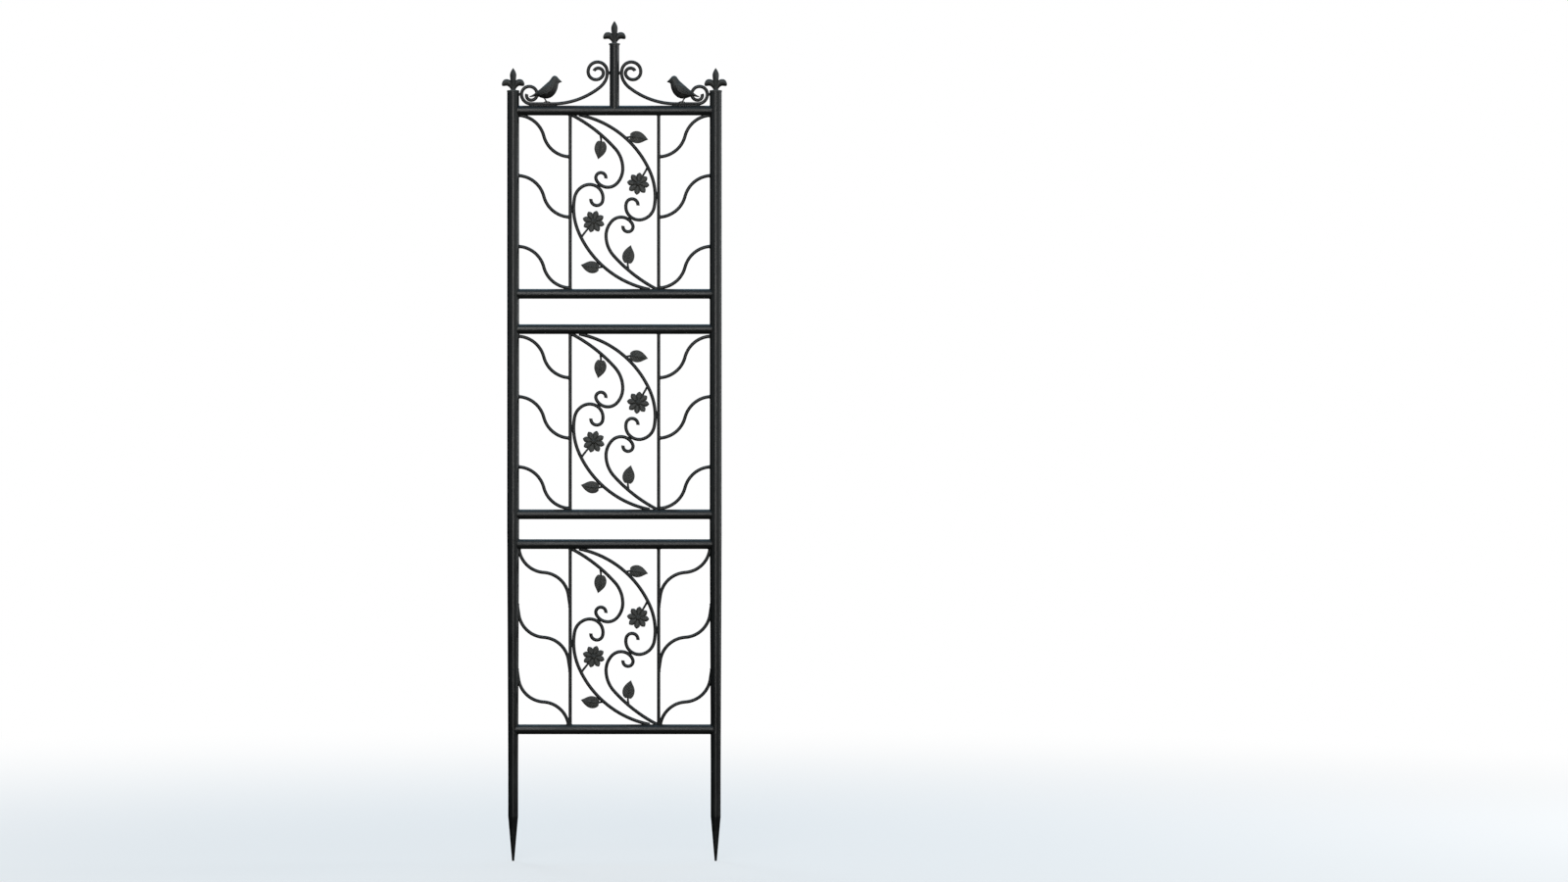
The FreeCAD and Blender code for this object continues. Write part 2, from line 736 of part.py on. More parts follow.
def cope_to_rod(body, name, x, z, heading):
    """Hollows a stem's end to the rod it is welded to, where the rod passes (x, z)."""
    sketch = new_sketch(body, name + "_cope", "XZ_Plane")
    shift_sketch(sketch, x=x, y=z, turn=heading - 90)
    zero = as_size(0)
    reach = cell("rod_diameter")
    draw_outline(sketch, [(zero, -reach), (rod_radius + gap, -reach), (rod_radius + gap, reach), (zero, reach)])
    return revolve(body, sketch, "Groove")


def leaves(name, centre, scroll, kind):
    """A leaf on one scroll and its half-turned twin on the other."""
    body = new_body(name)
    root_x, root_z, heading = scroll.point_on_sweep(cell(f"{kind}_leaf_share"))
    stem_angle = cell(f"{kind}_leaf_stem_angle")
    reach = cell(f"{kind}_leaf_stem")
    length = cell("leaf_length")
    features = [stem(body, name, root_x, root_z, stem_angle, as_size(0), reach + length * 0.1),
                cope_to_rod(body, name, root_x, root_z, heading)]
    base_x = root_x + reach * cosine(stem_angle)
    base_z = root_z + reach * sine(stem_angle)
    half = cell("leaf_width") / 2
    thin = cell("leaf_rib") / 2
    blade = [(0, 0), (0.12, 0.8), (0.4, 1.08), (0.75, 0.62), (1, 0), (0.72, -0.62), (0.4, -0.9), (0.12, -0.7)]
    for part, thickness in (("blade", cell("leaf_thickness")), ("rib", cell("leaf_thickness") + 1)):
        sketch = new_sketch(body, f"{name}_{part}", "XZ_Plane")
        shift_sketch(sketch, x=base_x, y=base_z, turn=cell(f"{kind}_leaf_angle"))
        if part == "blade":
            draw_arc_outline(sketch, [(length * along, half * across) for along, across in blade])
        else:
            rib_end = length * 0.8
            draw_outline(sketch, [(as_size(1), -thin), (rib_end, -thin), (rib_end, thin), (as_size(1), thin)])
        features.append(pad(body, sketch, thickness))
    polar_pattern(body, features, 2)
    place(body, z=centre)


def flower(name, hand, centre, scroll):
    """Eight petals round a domed heart, on a stem from the long scroll."""
    body = new_body(name)
    x, z, heading = scroll.point_on_sweep(cell("flower_share"))
    angle = cell(f"{hand}_flower_stem_angle")
    reach = cell(f"{hand}_flower_stem")
    zero = as_size(0)
    outer = cell("flower_diameter") / 2
    half = cell("petal_width") / 2
    inner = cell("flower_heart_diameter") / 4
    petal = new_sketch(body, name + "_petal", "XZ_Plane")
    shift_sketch(petal, turn=angle + 180 + cell("petal_turn"))
    draw_arc_outline(petal, [(inner, zero), (outer * 0.62, half), (outer, zero), (outer * 0.62, -half)])
    polar_pattern(body, [pad(body, petal, cell("flower_thickness"))], 8)
    heart = new_sketch(body, name + "_heart", "XY_Plane")
    radius = cell("flower_heart_diameter") / 2
    side_face = cell("flower_thickness") / 2
    rise = side_face + cell("flower_heart_rise")
    draw_outline(heart, [(zero, -rise), (radius * 0.6, -rise), (radius, -side_face), (radius, zero), (zero, zero)])
    body.Tip = revolve(body, heart)
    stem(body, name, zero, zero, angle + 180, zero, reach)
    heart_x = reach * cosine(angle)
    heart_z = reach * sine(angle)
    cope_to_rod(body, name, -heart_x, -heart_z, heading)
    half_turn = FreeCAD.Rotation(FreeCAD.Vector(0, 1, 0), 0 if hand == "right" else 180)
    spot = half_turn.multVec(FreeCAD.Vector((x + heart_x).number, 0, (z + heart_z).number))
    body.Placement = FreeCAD.Placement(FreeCAD.Vector(spot.x, 0, centre.number + spot.z), half_turn)
    bind(body, ".Placement.Base.z", centre + spot.z)


# ---------------------------------------------------------------- crest

def crest_post():
    name = "crest_post"
    body = new_body(name)
    bore = cell("crest_post_diameter") - cell("post_wall") * 2
    for part, diameter in (("outside", cell("crest_post_diameter")), ("bore", bore)):
        sketch = new_sketch(body, f"{name}_{part}", "XY_Plane")
        draw_circle(sketch, diameter)
        if part == "outside":
            pad(body, sketch, cell("crest_post_rise"), both_ways=False)
        else:
            cut_through(body, sketch)
    cope = new_sketch(body, name + "_cope", "YZ_Plane")
    draw_circle(cope, cell("rail_diameter") + gap * 2)
    cut_through(body, cope)
    place(body, z=upper_top_rail)


rest_start = -post_x + post_radius + cell("crest_weld_reach") + rod_radius + cell("perch_radius_a")
perch_bends = [Bend(as_size(-90), cell("perch_radius_a"))]
perch_bends += [Bend(-cell(f"perch_turn_{letter}"), cell(f"perch_radius_{letter}")) for letter in "bcd"]


def draw_perch(sketch, x, z):
    """The curl beside the side post, from where the rod lifts off the rail."""
    radii = [bend.radius.number for bend in perch_bends]
    stations = follow((x.number, z.number), 180, perch_bends, radii)
    return draw_bends(sketch, stations, perch_bends, radii), stations


def crest_scroll(name, turn):
    """One long rod: a curl by the side post, a rest on the rail, a sweep up to a volute."""
    body = new_body(name)
    height = rail_to_rod
    rest_end = -cell("crest_sweep_start")
    contact_x = -cell("crest_post_diameter") / 2 - cell("crest_weld_reach") - rod_radius
    contact_z = cell("crest_contact_height")
    spine = new_sketch(body, name + "_spine", "XZ_Plane")
    line = spine.addGeometry(Part.LineSegment(FreeCAD.Vector(rest_start.number, height.number, 0),
                                              FreeCAD.Vector(rest_end.number, height.number, 0)), False)
    spine.addConstraint(Sketcher.Constraint("Horizontal", line))
    pin(spine, line, 1, rest_start, height)
    constrain(spine, rest_end - rest_start, "Distance", line)
    perch, perch_stations = draw_perch(spine, rest_start, height)
    spine.addConstraint(Sketcher.Constraint("Tangent", line, 1, perch[0][0], perch[0][1]))

    volute = [Bend(cell("crest_turn_a")), Bend(cell("crest_turn_b"))]
    volute += [Bend(cell(f"crest_turn_{letter}"), cell(f"crest_radius_{letter}")) for letter in "cdefg"]
    dx, dz = volute[2].step(volute[0].turn.number + volute[1].turn.number)
    third = volute[2].radius.number
    start = (rest_end.number, height.number)
    radii = find_radii(start, (contact_x.number - third * dx, contact_z.number - third * dz), 0, volute)
    radii += [bend.radius.number for bend in volute[2:]]
    stations = follow(start, 0, volute, radii)
    drawn = draw_bends(spine, stations, volute, radii)
    spine.addConstraint(Sketcher.Constraint("Tangent", line, 2, drawn[0][0], drawn[0][1]))
    pin(spine, drawn[2][0], drawn[2][2], contact_x, contact_z)

    tip_x, tip_z, tip_heading = perch_stations[-1]
    sweep_rod(body, spine, as_size(tip_x), as_size(tip_z), as_size(tip_heading), cell("rod_diameter"))
    # weld lugs across to the side post and to the crest post
    lug_length = rod_radius + cell("crest_weld_reach") - gap
    lugs = ((rest_start - cell("perch_radius_a"), height + cell("perch_radius_a"), 90),
            (contact_x, contact_z, -90))
    for number, (x, z, angle) in enumerate(lugs, start=1):
        sketch = new_sketch(body, f"{name}_lug_{number}", "XZ_Plane")
        shift_sketch(sketch, x=x, y=z, turn=as_size(angle))
        zero = as_size(0)
        radius = cell("crest_lug_diameter") / 2
        draw_outline(sketch, [(zero, zero), (radius, zero), (radius, lug_length), (zero, lug_length)])
        revolve(body, sketch)
    place(body, z=upper_top_rail, turn=turn)


def share_outline(points, width, rise, lift):
    """Outline points given as shares of a width and a rise."""
    return [(width * x, lift + rise * z) for x, z in points]


def finial(name, x, height, tube_diameter, overhang):
    """Cast spear with two drooping lobes, on a flange whose plug sits in the tube."""
    body = new_body(name)
    zero = as_size(0)
    flange = cell("finial_flange")
    rise = cell("finial_rise")
    half = cell("finial_span") / 2
    plug_radius = tube_diameter / 2 - cell("post_wall") - cell("finial_plug_clearance")
    flange_radius = tube_diameter / 2 + overhang
    turned = new_sketch(body, name + "_turned", "XZ_Plane")
    spear = [(0.225, 0), (0.205, 0.06), (0.26, 0.5), (0.285, 0.69), (0.17, 0.86), (0, 1)]
    draw_outline(turned, [(zero, -cell("finial_plug")), (plug_radius, -cell("finial_plug")),
                          (plug_radius, zero), (flange_radius, zero), (flange_radius, flange)]
                 + share_outline(spear, half, rise, flange))
    revolve(body, turned)
    lobe = [(0.19, 0.01), (0.29, 0.11), (0.42, 0.175), (0.52, 0.203), (0.64, 0.2), (0.79, 0.188), (0.92, 0.195),
            (0.985, 0.235), (0.985, 0.31), (0.86, 0.445), (0.58, 0.503), (0.4, 0.495), (0.2, 0.46), (0.1, 0.22)]
    for side in (-1, 1):
        sketch = new_sketch(body, f"{name}_lobe_{'left' if side < 0 else 'right'}", "XZ_Plane")
        draw_arc_outline(sketch, share_outline(lobe, half * side, rise, flange))
        pad(body, sketch, cell("finial_thickness"))
    place(body, x=x, z=height)


def bird(name, turn):
    """Small cast songbird that stands on a crest scroll, notched over its curl."""
    body = new_body(name)
    zero = as_size(0)
    length = cell("bird_length")
    depth = cell("bird_depth")
    foot_x = rest_start + cell("bird_foot_offset")
    foot_z = rail_to_rod + rod_radius + gap

    trunk = body.newObject("PartDesign::AdditiveEllipsoid", name + "_trunk")
    head = body.newObject("PartDesign::AdditiveSphere", name + "_head")
    trunk_x = cell("bird_lean")
    trunk_z = cell("bird_rise")
    head_x = trunk_x + cell("bird_neck") * cosine(cell("bird_neck_angle"))
    head_z = trunk_z + cell("bird_neck") * sine(cell("bird_neck_angle"))
    upright = as_size(90) - cell("bird_pitch")
    for solid, x, z, turn_back in ((trunk, trunk_x, trunk_z, upright), (head, head_x, head_z, zero)):
        solid.AttachmentSupport = [(origin_feature(body, "XY_Plane"), "")]
        solid.MapMode = "FlatFace"
        solid.AttachmentOffset = FreeCAD.Placement(
            FreeCAD.Vector(x.number, 0, z.number),
            FreeCAD.Rotation(FreeCAD.Vector(0, 1, 0), turn_back.number))
        bind(solid, ".AttachmentOffset.Base.x", x)
        bind(solid, ".AttachmentOffset.Base.z", z)
    bind(trunk, ".AttachmentOffset.Rotation.Angle", upright)
    bind(trunk, "Radius1", length / 2)                   # along the trunk
    bind(trunk, "Radius2", depth / 2)                    # back to belly
    bind(trunk, "Radius3", cell("bird_width") / 2)       # side to side
    bind(head, "Radius", cell("bird_head") / 2)

    beak = new_sketch(body, name + "_beak", "XZ_Plane")
    shift_sketch(beak, x=head_x, y=head_z, turn=-cell("bird_beak_droop") - 90)
    beak_base = cell("bird_head") / 5
    draw_outline(beak, [(zero, zero), (beak_base, zero), (beak_base, cell("bird_head") / 3),
                        (zero, cell("bird_beak"))])
    revolve(body, beak)

    tail = new_sketch(body, name + "_tail", "XZ_Plane")
    tail_shape = [(0, 0.2), (-0.3, 0.1), (-0.49, -0.08), (-0.83, -0.4), (-0.79, -0.5), (-0.52, -0.46),
                  (-0.4, -0.6), (-0.05, -0.52)]
    draw_outline(tail, share_outline(tail_shape, length, depth, trunk_z))
    pad(body, tail, cell("bird_tail_width"))

    leg_sketch = new_sketch(body, name + "_leg", "XZ_Plane")
    shift_sketch(leg_sketch, turn=cell("bird_leg_lean"))
    thick = cell("bird_leg") / 2
    leg_top = trunk_z * 0.75
    leg_foot = thick * sine(cell("bird_leg_lean"))
    draw_outline(leg_sketch, [(zero, leg_foot), (thick, leg_foot), (thick, leg_top), (zero, leg_top)])
    revolve(body, leg_sketch)

    notch = new_sketch(body, name + "_notch", "XZ_Plane")
    start_x = rest_start - foot_x
    start_z = rail_to_rod - foot_z
    drawn, stations = draw_perch(notch, start_x, start_z)
    pin(notch, drawn[0][0], drawn[0][1], start_x, start_z)
    notch.addConstraint(Sketcher.Constraint("Vertical", drawn[0][0], 3, drawn[0][0], drawn[0][1]))
    tip_x, tip_z, tip_heading = stations[-1]
    sweep_rod(body, notch, as_size(tip_x), as_size(tip_z), as_size(tip_heading),
              cell("rod_diameter") + gap * 2, "SubtractivePipe")
    side = 1 if turn == 0 else -1
    place(body, x=foot_x * side, z=upper_top_rail + foot_z, turn=turn)


# ---------------------------------------------------------------- the trellis

for side, hand in ((-1, "left"), (1, "right")):
    leg(f"lower_{hand}_upright", side)
    straight_tube(f"middle_{hand}_upright", side, lower_joint, upper_joint, with_neck=True)
    straight_tube(f"upper_{hand}_upright", side, upper_joint, side_post_top, with_neck=False)
    finial(f"{hand}_finial", post_x * side, side_post_top, cell("post_diameter"),
           cell("side_flange_overhang"))

sections = (("lower", lowest_rail, cell("lower_panel")),
            ("middle", middle_bottom_rail, cell("middle_panel")),
            ("upper", upper_bottom_rail, cell("upper_panel")))
for section, bottom, panel in sections:
    centre = bottom + panel / 2
    rail(f"{section}_bottom_rail", bottom, tapered=section == "lower")
    rail(f"{section}_top_rail", bottom + panel, tapered=section == "lower")
    for side, hand in ((-1, "left"), (1, "right")):
        inner_rod(f"{section}_{hand}_inner_rod", side, centre, panel)
        wave_rods(section, hand, centre, panel)
    long_one, short_one = panel_scrolls(section, centre, panel)
    leaves(f"{section}_long_scroll_leaves", centre, long_one, "long")
    leaves(f"{section}_short_scroll_leaves", centre, short_one, "short")
    for hand in ("right", "left"):
        flower(f"{section}_{hand}_flower", hand, centre, long_one)

crest_post()
finial("crest_finial", None, crest_post_top, cell("crest_post_diameter"),
       cell("crest_flange_overhang"))
for hand, turn in (("left", 0), ("right", 180)):
    crest_scroll(f"crest_{hand}_scroll", turn)
    bird(f"{hand}_bird", turn)

doc.recompute()

# ---------------------------------------------------------------- checks and export

faults = [item.Name for item in doc.Objects if {"Invalid", "Error"} & set(item.State)]
bodies = [item for item in doc.Objects if item.TypeId == "PartDesign::Body"]
faults += [body.Label for body in bodies if body.Shape.isNull() or not body.Shape.isValid()]
if faults:
    raise RuntimeError("failed: " + ", ".join(faults))

os.makedirs("parts", exist_ok=True)
for body in bodies:
    body.Shape.exportStep(f"parts/{body.Label}.step")
    print(body.Label, len(body.Shape.Solids), "solid(s)", round(body.Shape.Volume / 1000, 2), "cm3")
print(len(bodies), "parts")
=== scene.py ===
import json
import math

import bmesh
import bpy
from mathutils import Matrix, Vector
from mathutils.bvhtree import BVHTree
from mathutils.noise import noise

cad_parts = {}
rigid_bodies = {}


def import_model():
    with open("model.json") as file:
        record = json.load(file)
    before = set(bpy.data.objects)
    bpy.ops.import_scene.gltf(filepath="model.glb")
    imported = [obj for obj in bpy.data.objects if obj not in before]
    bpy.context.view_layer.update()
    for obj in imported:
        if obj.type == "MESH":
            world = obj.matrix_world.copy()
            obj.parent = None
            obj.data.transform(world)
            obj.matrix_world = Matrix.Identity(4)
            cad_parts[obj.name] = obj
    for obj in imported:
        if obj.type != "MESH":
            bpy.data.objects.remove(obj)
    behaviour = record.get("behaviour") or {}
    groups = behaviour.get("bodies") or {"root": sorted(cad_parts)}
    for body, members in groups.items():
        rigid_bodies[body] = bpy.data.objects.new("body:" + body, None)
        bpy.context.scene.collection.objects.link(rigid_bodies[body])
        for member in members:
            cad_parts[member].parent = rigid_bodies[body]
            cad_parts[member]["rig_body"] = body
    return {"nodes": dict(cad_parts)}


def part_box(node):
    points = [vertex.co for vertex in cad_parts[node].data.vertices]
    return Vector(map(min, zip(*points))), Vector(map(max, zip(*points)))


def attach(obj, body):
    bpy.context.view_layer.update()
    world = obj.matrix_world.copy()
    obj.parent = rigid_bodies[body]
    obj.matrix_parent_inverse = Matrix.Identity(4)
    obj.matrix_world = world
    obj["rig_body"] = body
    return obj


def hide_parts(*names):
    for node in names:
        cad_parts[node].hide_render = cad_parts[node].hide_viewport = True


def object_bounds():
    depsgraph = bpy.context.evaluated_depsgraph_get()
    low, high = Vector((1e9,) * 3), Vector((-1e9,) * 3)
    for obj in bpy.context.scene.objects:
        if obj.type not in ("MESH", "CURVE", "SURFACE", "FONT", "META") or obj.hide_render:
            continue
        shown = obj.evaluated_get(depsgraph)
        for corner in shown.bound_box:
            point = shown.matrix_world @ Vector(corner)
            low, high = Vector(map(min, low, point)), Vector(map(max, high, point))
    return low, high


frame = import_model()
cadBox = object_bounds()
sections = ("lower", "middle", "upper")


# shader wiring

class Wire:  # one output socket, so that sums on values read as plain arithmetic
    def __init__(self, coat, socket):
        self.coat = coat
        self.socket = socket

    def worked(self, operation, first, second):
        return self.coat.node("Math", {"operation": operation}, {0: first, 1: second})

    def __add__(self, other):
        return self.worked("ADD", self, other)

    def __radd__(self, other):
        return self.worked("ADD", other, self)

    def __sub__(self, other):
        return self.worked("SUBTRACT", self, other)

    def __rsub__(self, other):
        return self.worked("SUBTRACT", other, self)

    def __mul__(self, other):
        return self.worked("MULTIPLY", self, other)

    def __rmul__(self, other):
        return self.worked("MULTIPLY", other, self)


class Coat:  # a material while its nodes are laid out
    def __init__(self, tree):
        self.tree = tree
        tree.nodes.clear()

    def node(self, kind, settings=(), sockets=(), output=0):
        made = self.tree.nodes.new("ShaderNode" + kind)
        for setting, value in dict(settings).items():
            setattr(made, setting, value)
        for name, value in dict(sockets).items():
            if isinstance(value, Wire):
                self.tree.links.new(value.socket, made.inputs[name])
            else:
                made.inputs[name].default_value = value
        return Wire(self, made.outputs[output]) if made.outputs else None

    def mixed(self, share, first, second):
        return self.node("Mix", {"data_type": "RGBA"}, {0: share, 6: first, 7: second}, 2)

    def within(self, value, low, high):  # 0 below low, 1 above high, eased between
        return self.node("MapRange", {"interpolation_type": "SMOOTHSTEP"},
                         {"Value": value, "From Min": low, "From Max": high})


def newMaterial(name):
    material = bpy.data.materials.new(name)
    material.use_nodes = True
    return material, Coat(material.node_tree)


# black powder coat, baked over steel: the same recipe in a few grades

tubeFinish = {
    "name": "satinBlackTubeCoat",
    # tone where the coat lies deep and where it is thin, in soft clouds
    "deep": (0.0052, 0.0060, 0.0062, 1), "thin": (0.0105, 0.0118, 0.0116, 1),
    "cloudSize": 14, "cloudFrom": 0.32, "cloudFull": 0.70,
    # dust on what faces up, which is also painted light: graded by how each face turns, tops lighter and
    # undersides left in painted shade
    "dustAndPaintedTopLight": (0.10, 0.105, 0.10, 1), "dustAndTopLightShare": 0.05, "dustAndTopLightFrom": 0.75, "dustAndTopLightFull": 1.55,
    "dustAndTopLightDrift": 0.7, "dustAndTopLightDull": 0.10,
    # coarse grains in the powder, and edges rubbed to the same tone
    "rubbed": (0.045, 0.046, 0.045, 1), "rubShare": 0.25, "edgeFrom": 0.515, "edgeFull": 0.60,
    "grainShare": 0.2, "grainFrom": 0.60, "grainFull": 0.74, "grainShine": 0.03,
    # painted shade: creases and hollows darkened
    "paintedCreaseShade": (0.004, 0.004, 0.004, 1), "paintedCreaseShadeShare": 0.3, "paintedCreaseShadeFull": 0.42, "paintedCreaseShadeEnd": 0.492,
    "smooth": 0.30, "dull": 0.43, "dullFrom": 0.3, "dullFull": 0.75, "specular": 0.5,
    # orange peel
    "peelSize": 420, "peelDepth": 0.00004, "peelStrength": 0.55, "fleckSize": 2300,
}
rodFinish = {
    **tubeFinish, "name": "satinBlackRodCoat",
    "deep": (0.0060, 0.0068, 0.0068, 1), "thin": (0.0120, 0.0130, 0.0126, 1),
    "smooth": 0.32, "dull": 0.46, "peelSize": 520, "peelDepth": 0.00003, "rubShare": 0.15,
}
leafFinish = {
    **tubeFinish, "name": "charcoalLeafCoat",
    "deep": (0.036, 0.035, 0.031, 1), "thin": (0.088, 0.086, 0.077, 1), "cloudSize": 130,
    "rubbed": (0.18, 0.177, 0.16, 1), "rubShare": 0.6,
    # painted light: the dust tone, graded from the undersides up, lightens the tops and leaves the undersides
    # in painted shade
    "dustAndTopLightShare": 0.16, "dustAndTopLightFrom": -0.3, "dustAndTopLightFull": 1.2,
    # painted shade, strongly, in creases and hollows
    "paintedCreaseShadeShare": 0.85,
    "smooth": 0.42, "dull": 0.56, "peelSize": 900, "peelDepth": 0.00012,
}
castingFinish = {
    **tubeFinish, "name": "charcoalCastingCoat",
    # painted shade, strongly, in creases and hollows
    "deep": (0.0115, 0.0117, 0.011, 1), "thin": (0.026, 0.026, 0.024, 1), "cloudSize": 70, "paintedCreaseShadeShare": 0.8,
    # painted light: the dust tone, graded from the undersides up, lightens the tops and leaves the undersides
    # in painted shade
    "rubbed": (0.15, 0.155, 0.15, 1), "rubShare": 0.6, "dustAndPaintedTopLight": (0.155, 0.152, 0.138, 1), "dustAndTopLightShare": 0.5,
    "dustAndTopLightFrom": -0.15, "dustAndTopLightFull": 1.15,
    "smooth": 0.42, "dull": 0.58, "peelSize": 760, "peelDepth": 0.00014,
}
weldFinish = {
    **tubeFinish, "name": "coatedWeldBead",
    "smooth": 0.34, "dull": 0.52, "peelSize": 1100, "peelDepth": 0.0002,
}


def powderCoat(finish):
    material, coat = newMaterial(finish["name"])
    place = coat.node("TexCoord", output="Object")
    surface = coat.node("NewGeometry", output="Normal")
    cloud = coat.node("TexNoise", (), {"Vector": place, "Scale": finish["cloudSize"],
                                       "Detail": 5, "Roughness": 0.6})
    peel = coat.node("TexNoise", (), {"Vector": place, "Scale": finish["peelSize"], "Detail": 1.5})
    fleck = coat.node("TexNoise", (), {"Vector": place, "Scale": finish["fleckSize"], "Detail": 1})
    upward = coat.node("SeparateXYZ", (), {"Vector": surface}, "Z")
    # mask for dust and painted light: upward faces lighter, downward faces left darker as painted shade
    dustAndTopLightMask = coat.within(upward + cloud * finish["dustAndTopLightDrift"], finish["dustAndTopLightFrom"], finish["dustAndTopLightFull"])
    grain = coat.within(fleck, finish["grainFrom"], finish["grainFull"])
    pointiness = coat.node("NewGeometry", output="Pointiness")
    edge = coat.within(pointiness, finish["edgeFrom"], finish["edgeFull"])
    # painted shade: where pointiness is low, in creases and hollows
    paintedCreaseShade = 1 - coat.within(pointiness, finish["paintedCreaseShadeFull"], finish["paintedCreaseShadeEnd"])

    clouded = coat.within(cloud, finish["cloudFrom"], finish["cloudFull"])
    tone = coat.mixed(clouded, finish["deep"], finish["thin"])
    tone = coat.mixed(grain * finish["grainShare"], tone, finish["rubbed"])
    # dust and painted top light mixed in by the facing of the surface
    tone = coat.mixed(dustAndTopLightMask * finish["dustAndTopLightShare"], tone, finish["dustAndPaintedTopLight"])
    tone = coat.mixed(edge * finish["rubShare"], tone, finish["rubbed"])
    # painted shade laid into the creases and hollows
    tone = coat.mixed(paintedCreaseShade * finish["paintedCreaseShadeShare"], tone, finish["paintedCreaseShade"])
    spread = finish["dull"] - finish["smooth"]
    dullness = (finish["smooth"] + coat.within(cloud, finish["dullFrom"], finish["dullFull"]) * spread
                + dustAndTopLightMask * finish["dustAndTopLightDull"] - grain * finish["grainShine"])
    skin = coat.node("Bump", (), {"Height": peel * 0.75 + fleck * 0.25, "Strength": finish["peelStrength"],
                                  "Distance": finish["peelDepth"]})
    shader = coat.node("BsdfPrincipled", (), {"Base Color": tone, "Roughness": dullness, "Normal": skin,
                                              "Specular IOR Level": finish["specular"]})
    coat.node("OutputMaterial", (), {"Surface": shader})
    return material


coats = {"tube": powderCoat(tubeFinish), "rod": powderCoat(rodFinish), "leaf": powderCoat(leafFinish),
         "casting": powderCoat(castingFinish), "weld": powderCoat(weldFinish)}
for part in frame["nodes"].values():
    for holder in part.material_slots:
        holder.material = coats[holder.material.name]
print("coats mixed:", ", ".join(coats))


# mesh tools

def curveThrough(points, share):
    # a smooth line through evenly numbered points, at a share of its way
    spot = min(max(share, 0), 1) * (len(points) - 1)
    index = min(int(spot), len(points) - 2)
    part = spot - index
    before, start = points[max(index - 1, 0)], points[index]
    end, after = points[index + 1], points[min(index + 2, len(points) - 1)]
    leave, arrive = (end - before) / 2, (after - start) / 2
    square, cube = part * part, part ** 3
    return (start * (2 * cube - 3 * square + 1) + leave * (cube - 2 * square + part)
            + end * (3 * square - 2 * cube) + arrive * (cube - square))


def widthAt(profile, place):
    # reads a profile given as (place, width) pairs, straight from pair to pair
    for (low, first), (high, second) in zip(profile, profile[1:]):
        if place <= high:
            part = (place - low) / (high - low)
            return first + (second - first) * part
    return profile[-1][1]


def ridge(distance, width):
    return math.exp(-(distance / width) ** 2)


def flat(x, z, y=0):
    return Vector((x, y, z))


def loft(mesh, rows, closed=False):
    # skins row after row of points, each row a loop round the piece
    rings = [[mesh.verts.new(point) for point in row] for row in rows]
    pairs = list(zip(rings, rings[1:] + rings[:1])) if closed else list(zip(rings, rings[1:]))
    for ring, following in pairs:
        for corner in zip(ring, ring[1:] + ring[:1], following[1:] + following[:1], following):
            mesh.faces.new(corner)
    if not closed:
        mesh.faces.new(rings[0][::-1])
        mesh.faces.new(rings[-1])


barShoulders = ((0.18, 0.92), (0.3, 0.75), (0.38, 0.45))  # outward step and width, as shares of the radius


def addBar(mesh, points, radii, sides=18):
    # round bar along a line of points; the ends are pulled in to soft shoulders
    points, radii = list(points), list(radii)
    for end, following in ((0, 1), (-1, -2)):
        outward = (points[end] - points[following]).normalized()
        tip, size = points[end], radii[end]
        shoulders = [(tip + outward * size * rise, size * shrink)
                     for rise, shrink in barShoulders]
        if end == 0:
            points = [spot for spot, _ in shoulders[::-1]] + points
            radii = [size for _, size in shoulders[::-1]] + radii
        else:
            points += [spot for spot, _ in shoulders]
            radii += [size for _, size in shoulders]
    rows = []
    side = None
    for index, (point, radius) in enumerate(zip(points, radii)):
        ahead = (points[min(index + 1, len(points) - 1)] - points[max(index - 1, 0)]).normalized()
        if side is None:
            side = ahead.orthogonal().normalized()
        side = (side - ahead * side.dot(ahead)).normalized()
        across = ahead.cross(side)
        rows.append([point + (side * math.cos(turn) + across * math.sin(turn)) * radius
                     for turn in (2 * math.pi * count / sides for count in range(sides))])
    loft(mesh, rows)


def addPiece(name, mesh, coat, body, slot, *stoodFor, crease=48):
    bmesh.ops.remove_doubles(mesh, verts=mesh.verts, dist=1e-6)
    bmesh.ops.recalc_face_normals(mesh, faces=mesh.faces)
    data = bpy.data.meshes.new(name)
    mesh.to_mesh(data)
    mesh.free()
    data.materials.append(coats[coat])
    data.shade_smooth()
    data.set_sharp_from_angle(angle=math.radians(crease))
    piece = bpy.data.objects.new(name, data)
    bpy.context.scene.collection.objects.link(piece)
    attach(piece, body)
    if stoodFor:
        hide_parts(*stoodFor)
    return piece


def corners(node):
    return [corner.co.copy() for corner in frame["nodes"][node].data.vertices]


def skinOf(node):
    data = frame["nodes"][node].data
    return BVHTree.FromPolygons([corner.co for corner in data.vertices],
                                [face.vertices for face in data.polygons])


def touching(points, skin, reach=0.00025):
    return [point for point in points if skin.find_nearest(point, reach)[0] is not None]


def mean(points):
    return sum(points, Vector()) / len(points)


# leaves

leafShape = {
    "length": 0.0395, "halfWidth": 0.0135, "edge": 0.0011, "middle": 0.0030,
    "crown": 0.0013, "curl": 0.0010, "sway": 0.0010, "heart": 0.0028,
    "rib": 0.0014, "ribWidth": 0.0010, "vein": 0.0011, "veinWidth": 0.0007, "veinGap": 0.0056,
    "veinSlant": 0.85, "rows": 96, "columns": 28,
    # shares of the half width, in even steps of the sweep from base to tip
    "upper": (0, 0.42, 0.77, 0.99, 1.08, 1.03, 0.84, 0.56, 0.28, 0.08, 0),
    "lower": (0, 0.38, 0.67, 0.84, 0.90, 0.84, 0.64, 0.36, 0.14, 0.03, 0),
    # stem reach from the rod's skin to the blade, and its turn from the blade's own line
    "stems": {"long": (0.0065, 28), "short": (0.0105, 14)},
    # the stem starts inside the rod, flares at the weld and thins into the leaf's rib
    "stemRadius": 0.0024, "stemSink": 0.0026, "stemFlare": 0.0006, "flareLength": 0.0015,
    "stemTaper": 0.45, "stemSteps": 24,
    "ribJoin": (-0.001, 0.003, 0.008),  # places of the stem's line about the blade's base, along the rib
}


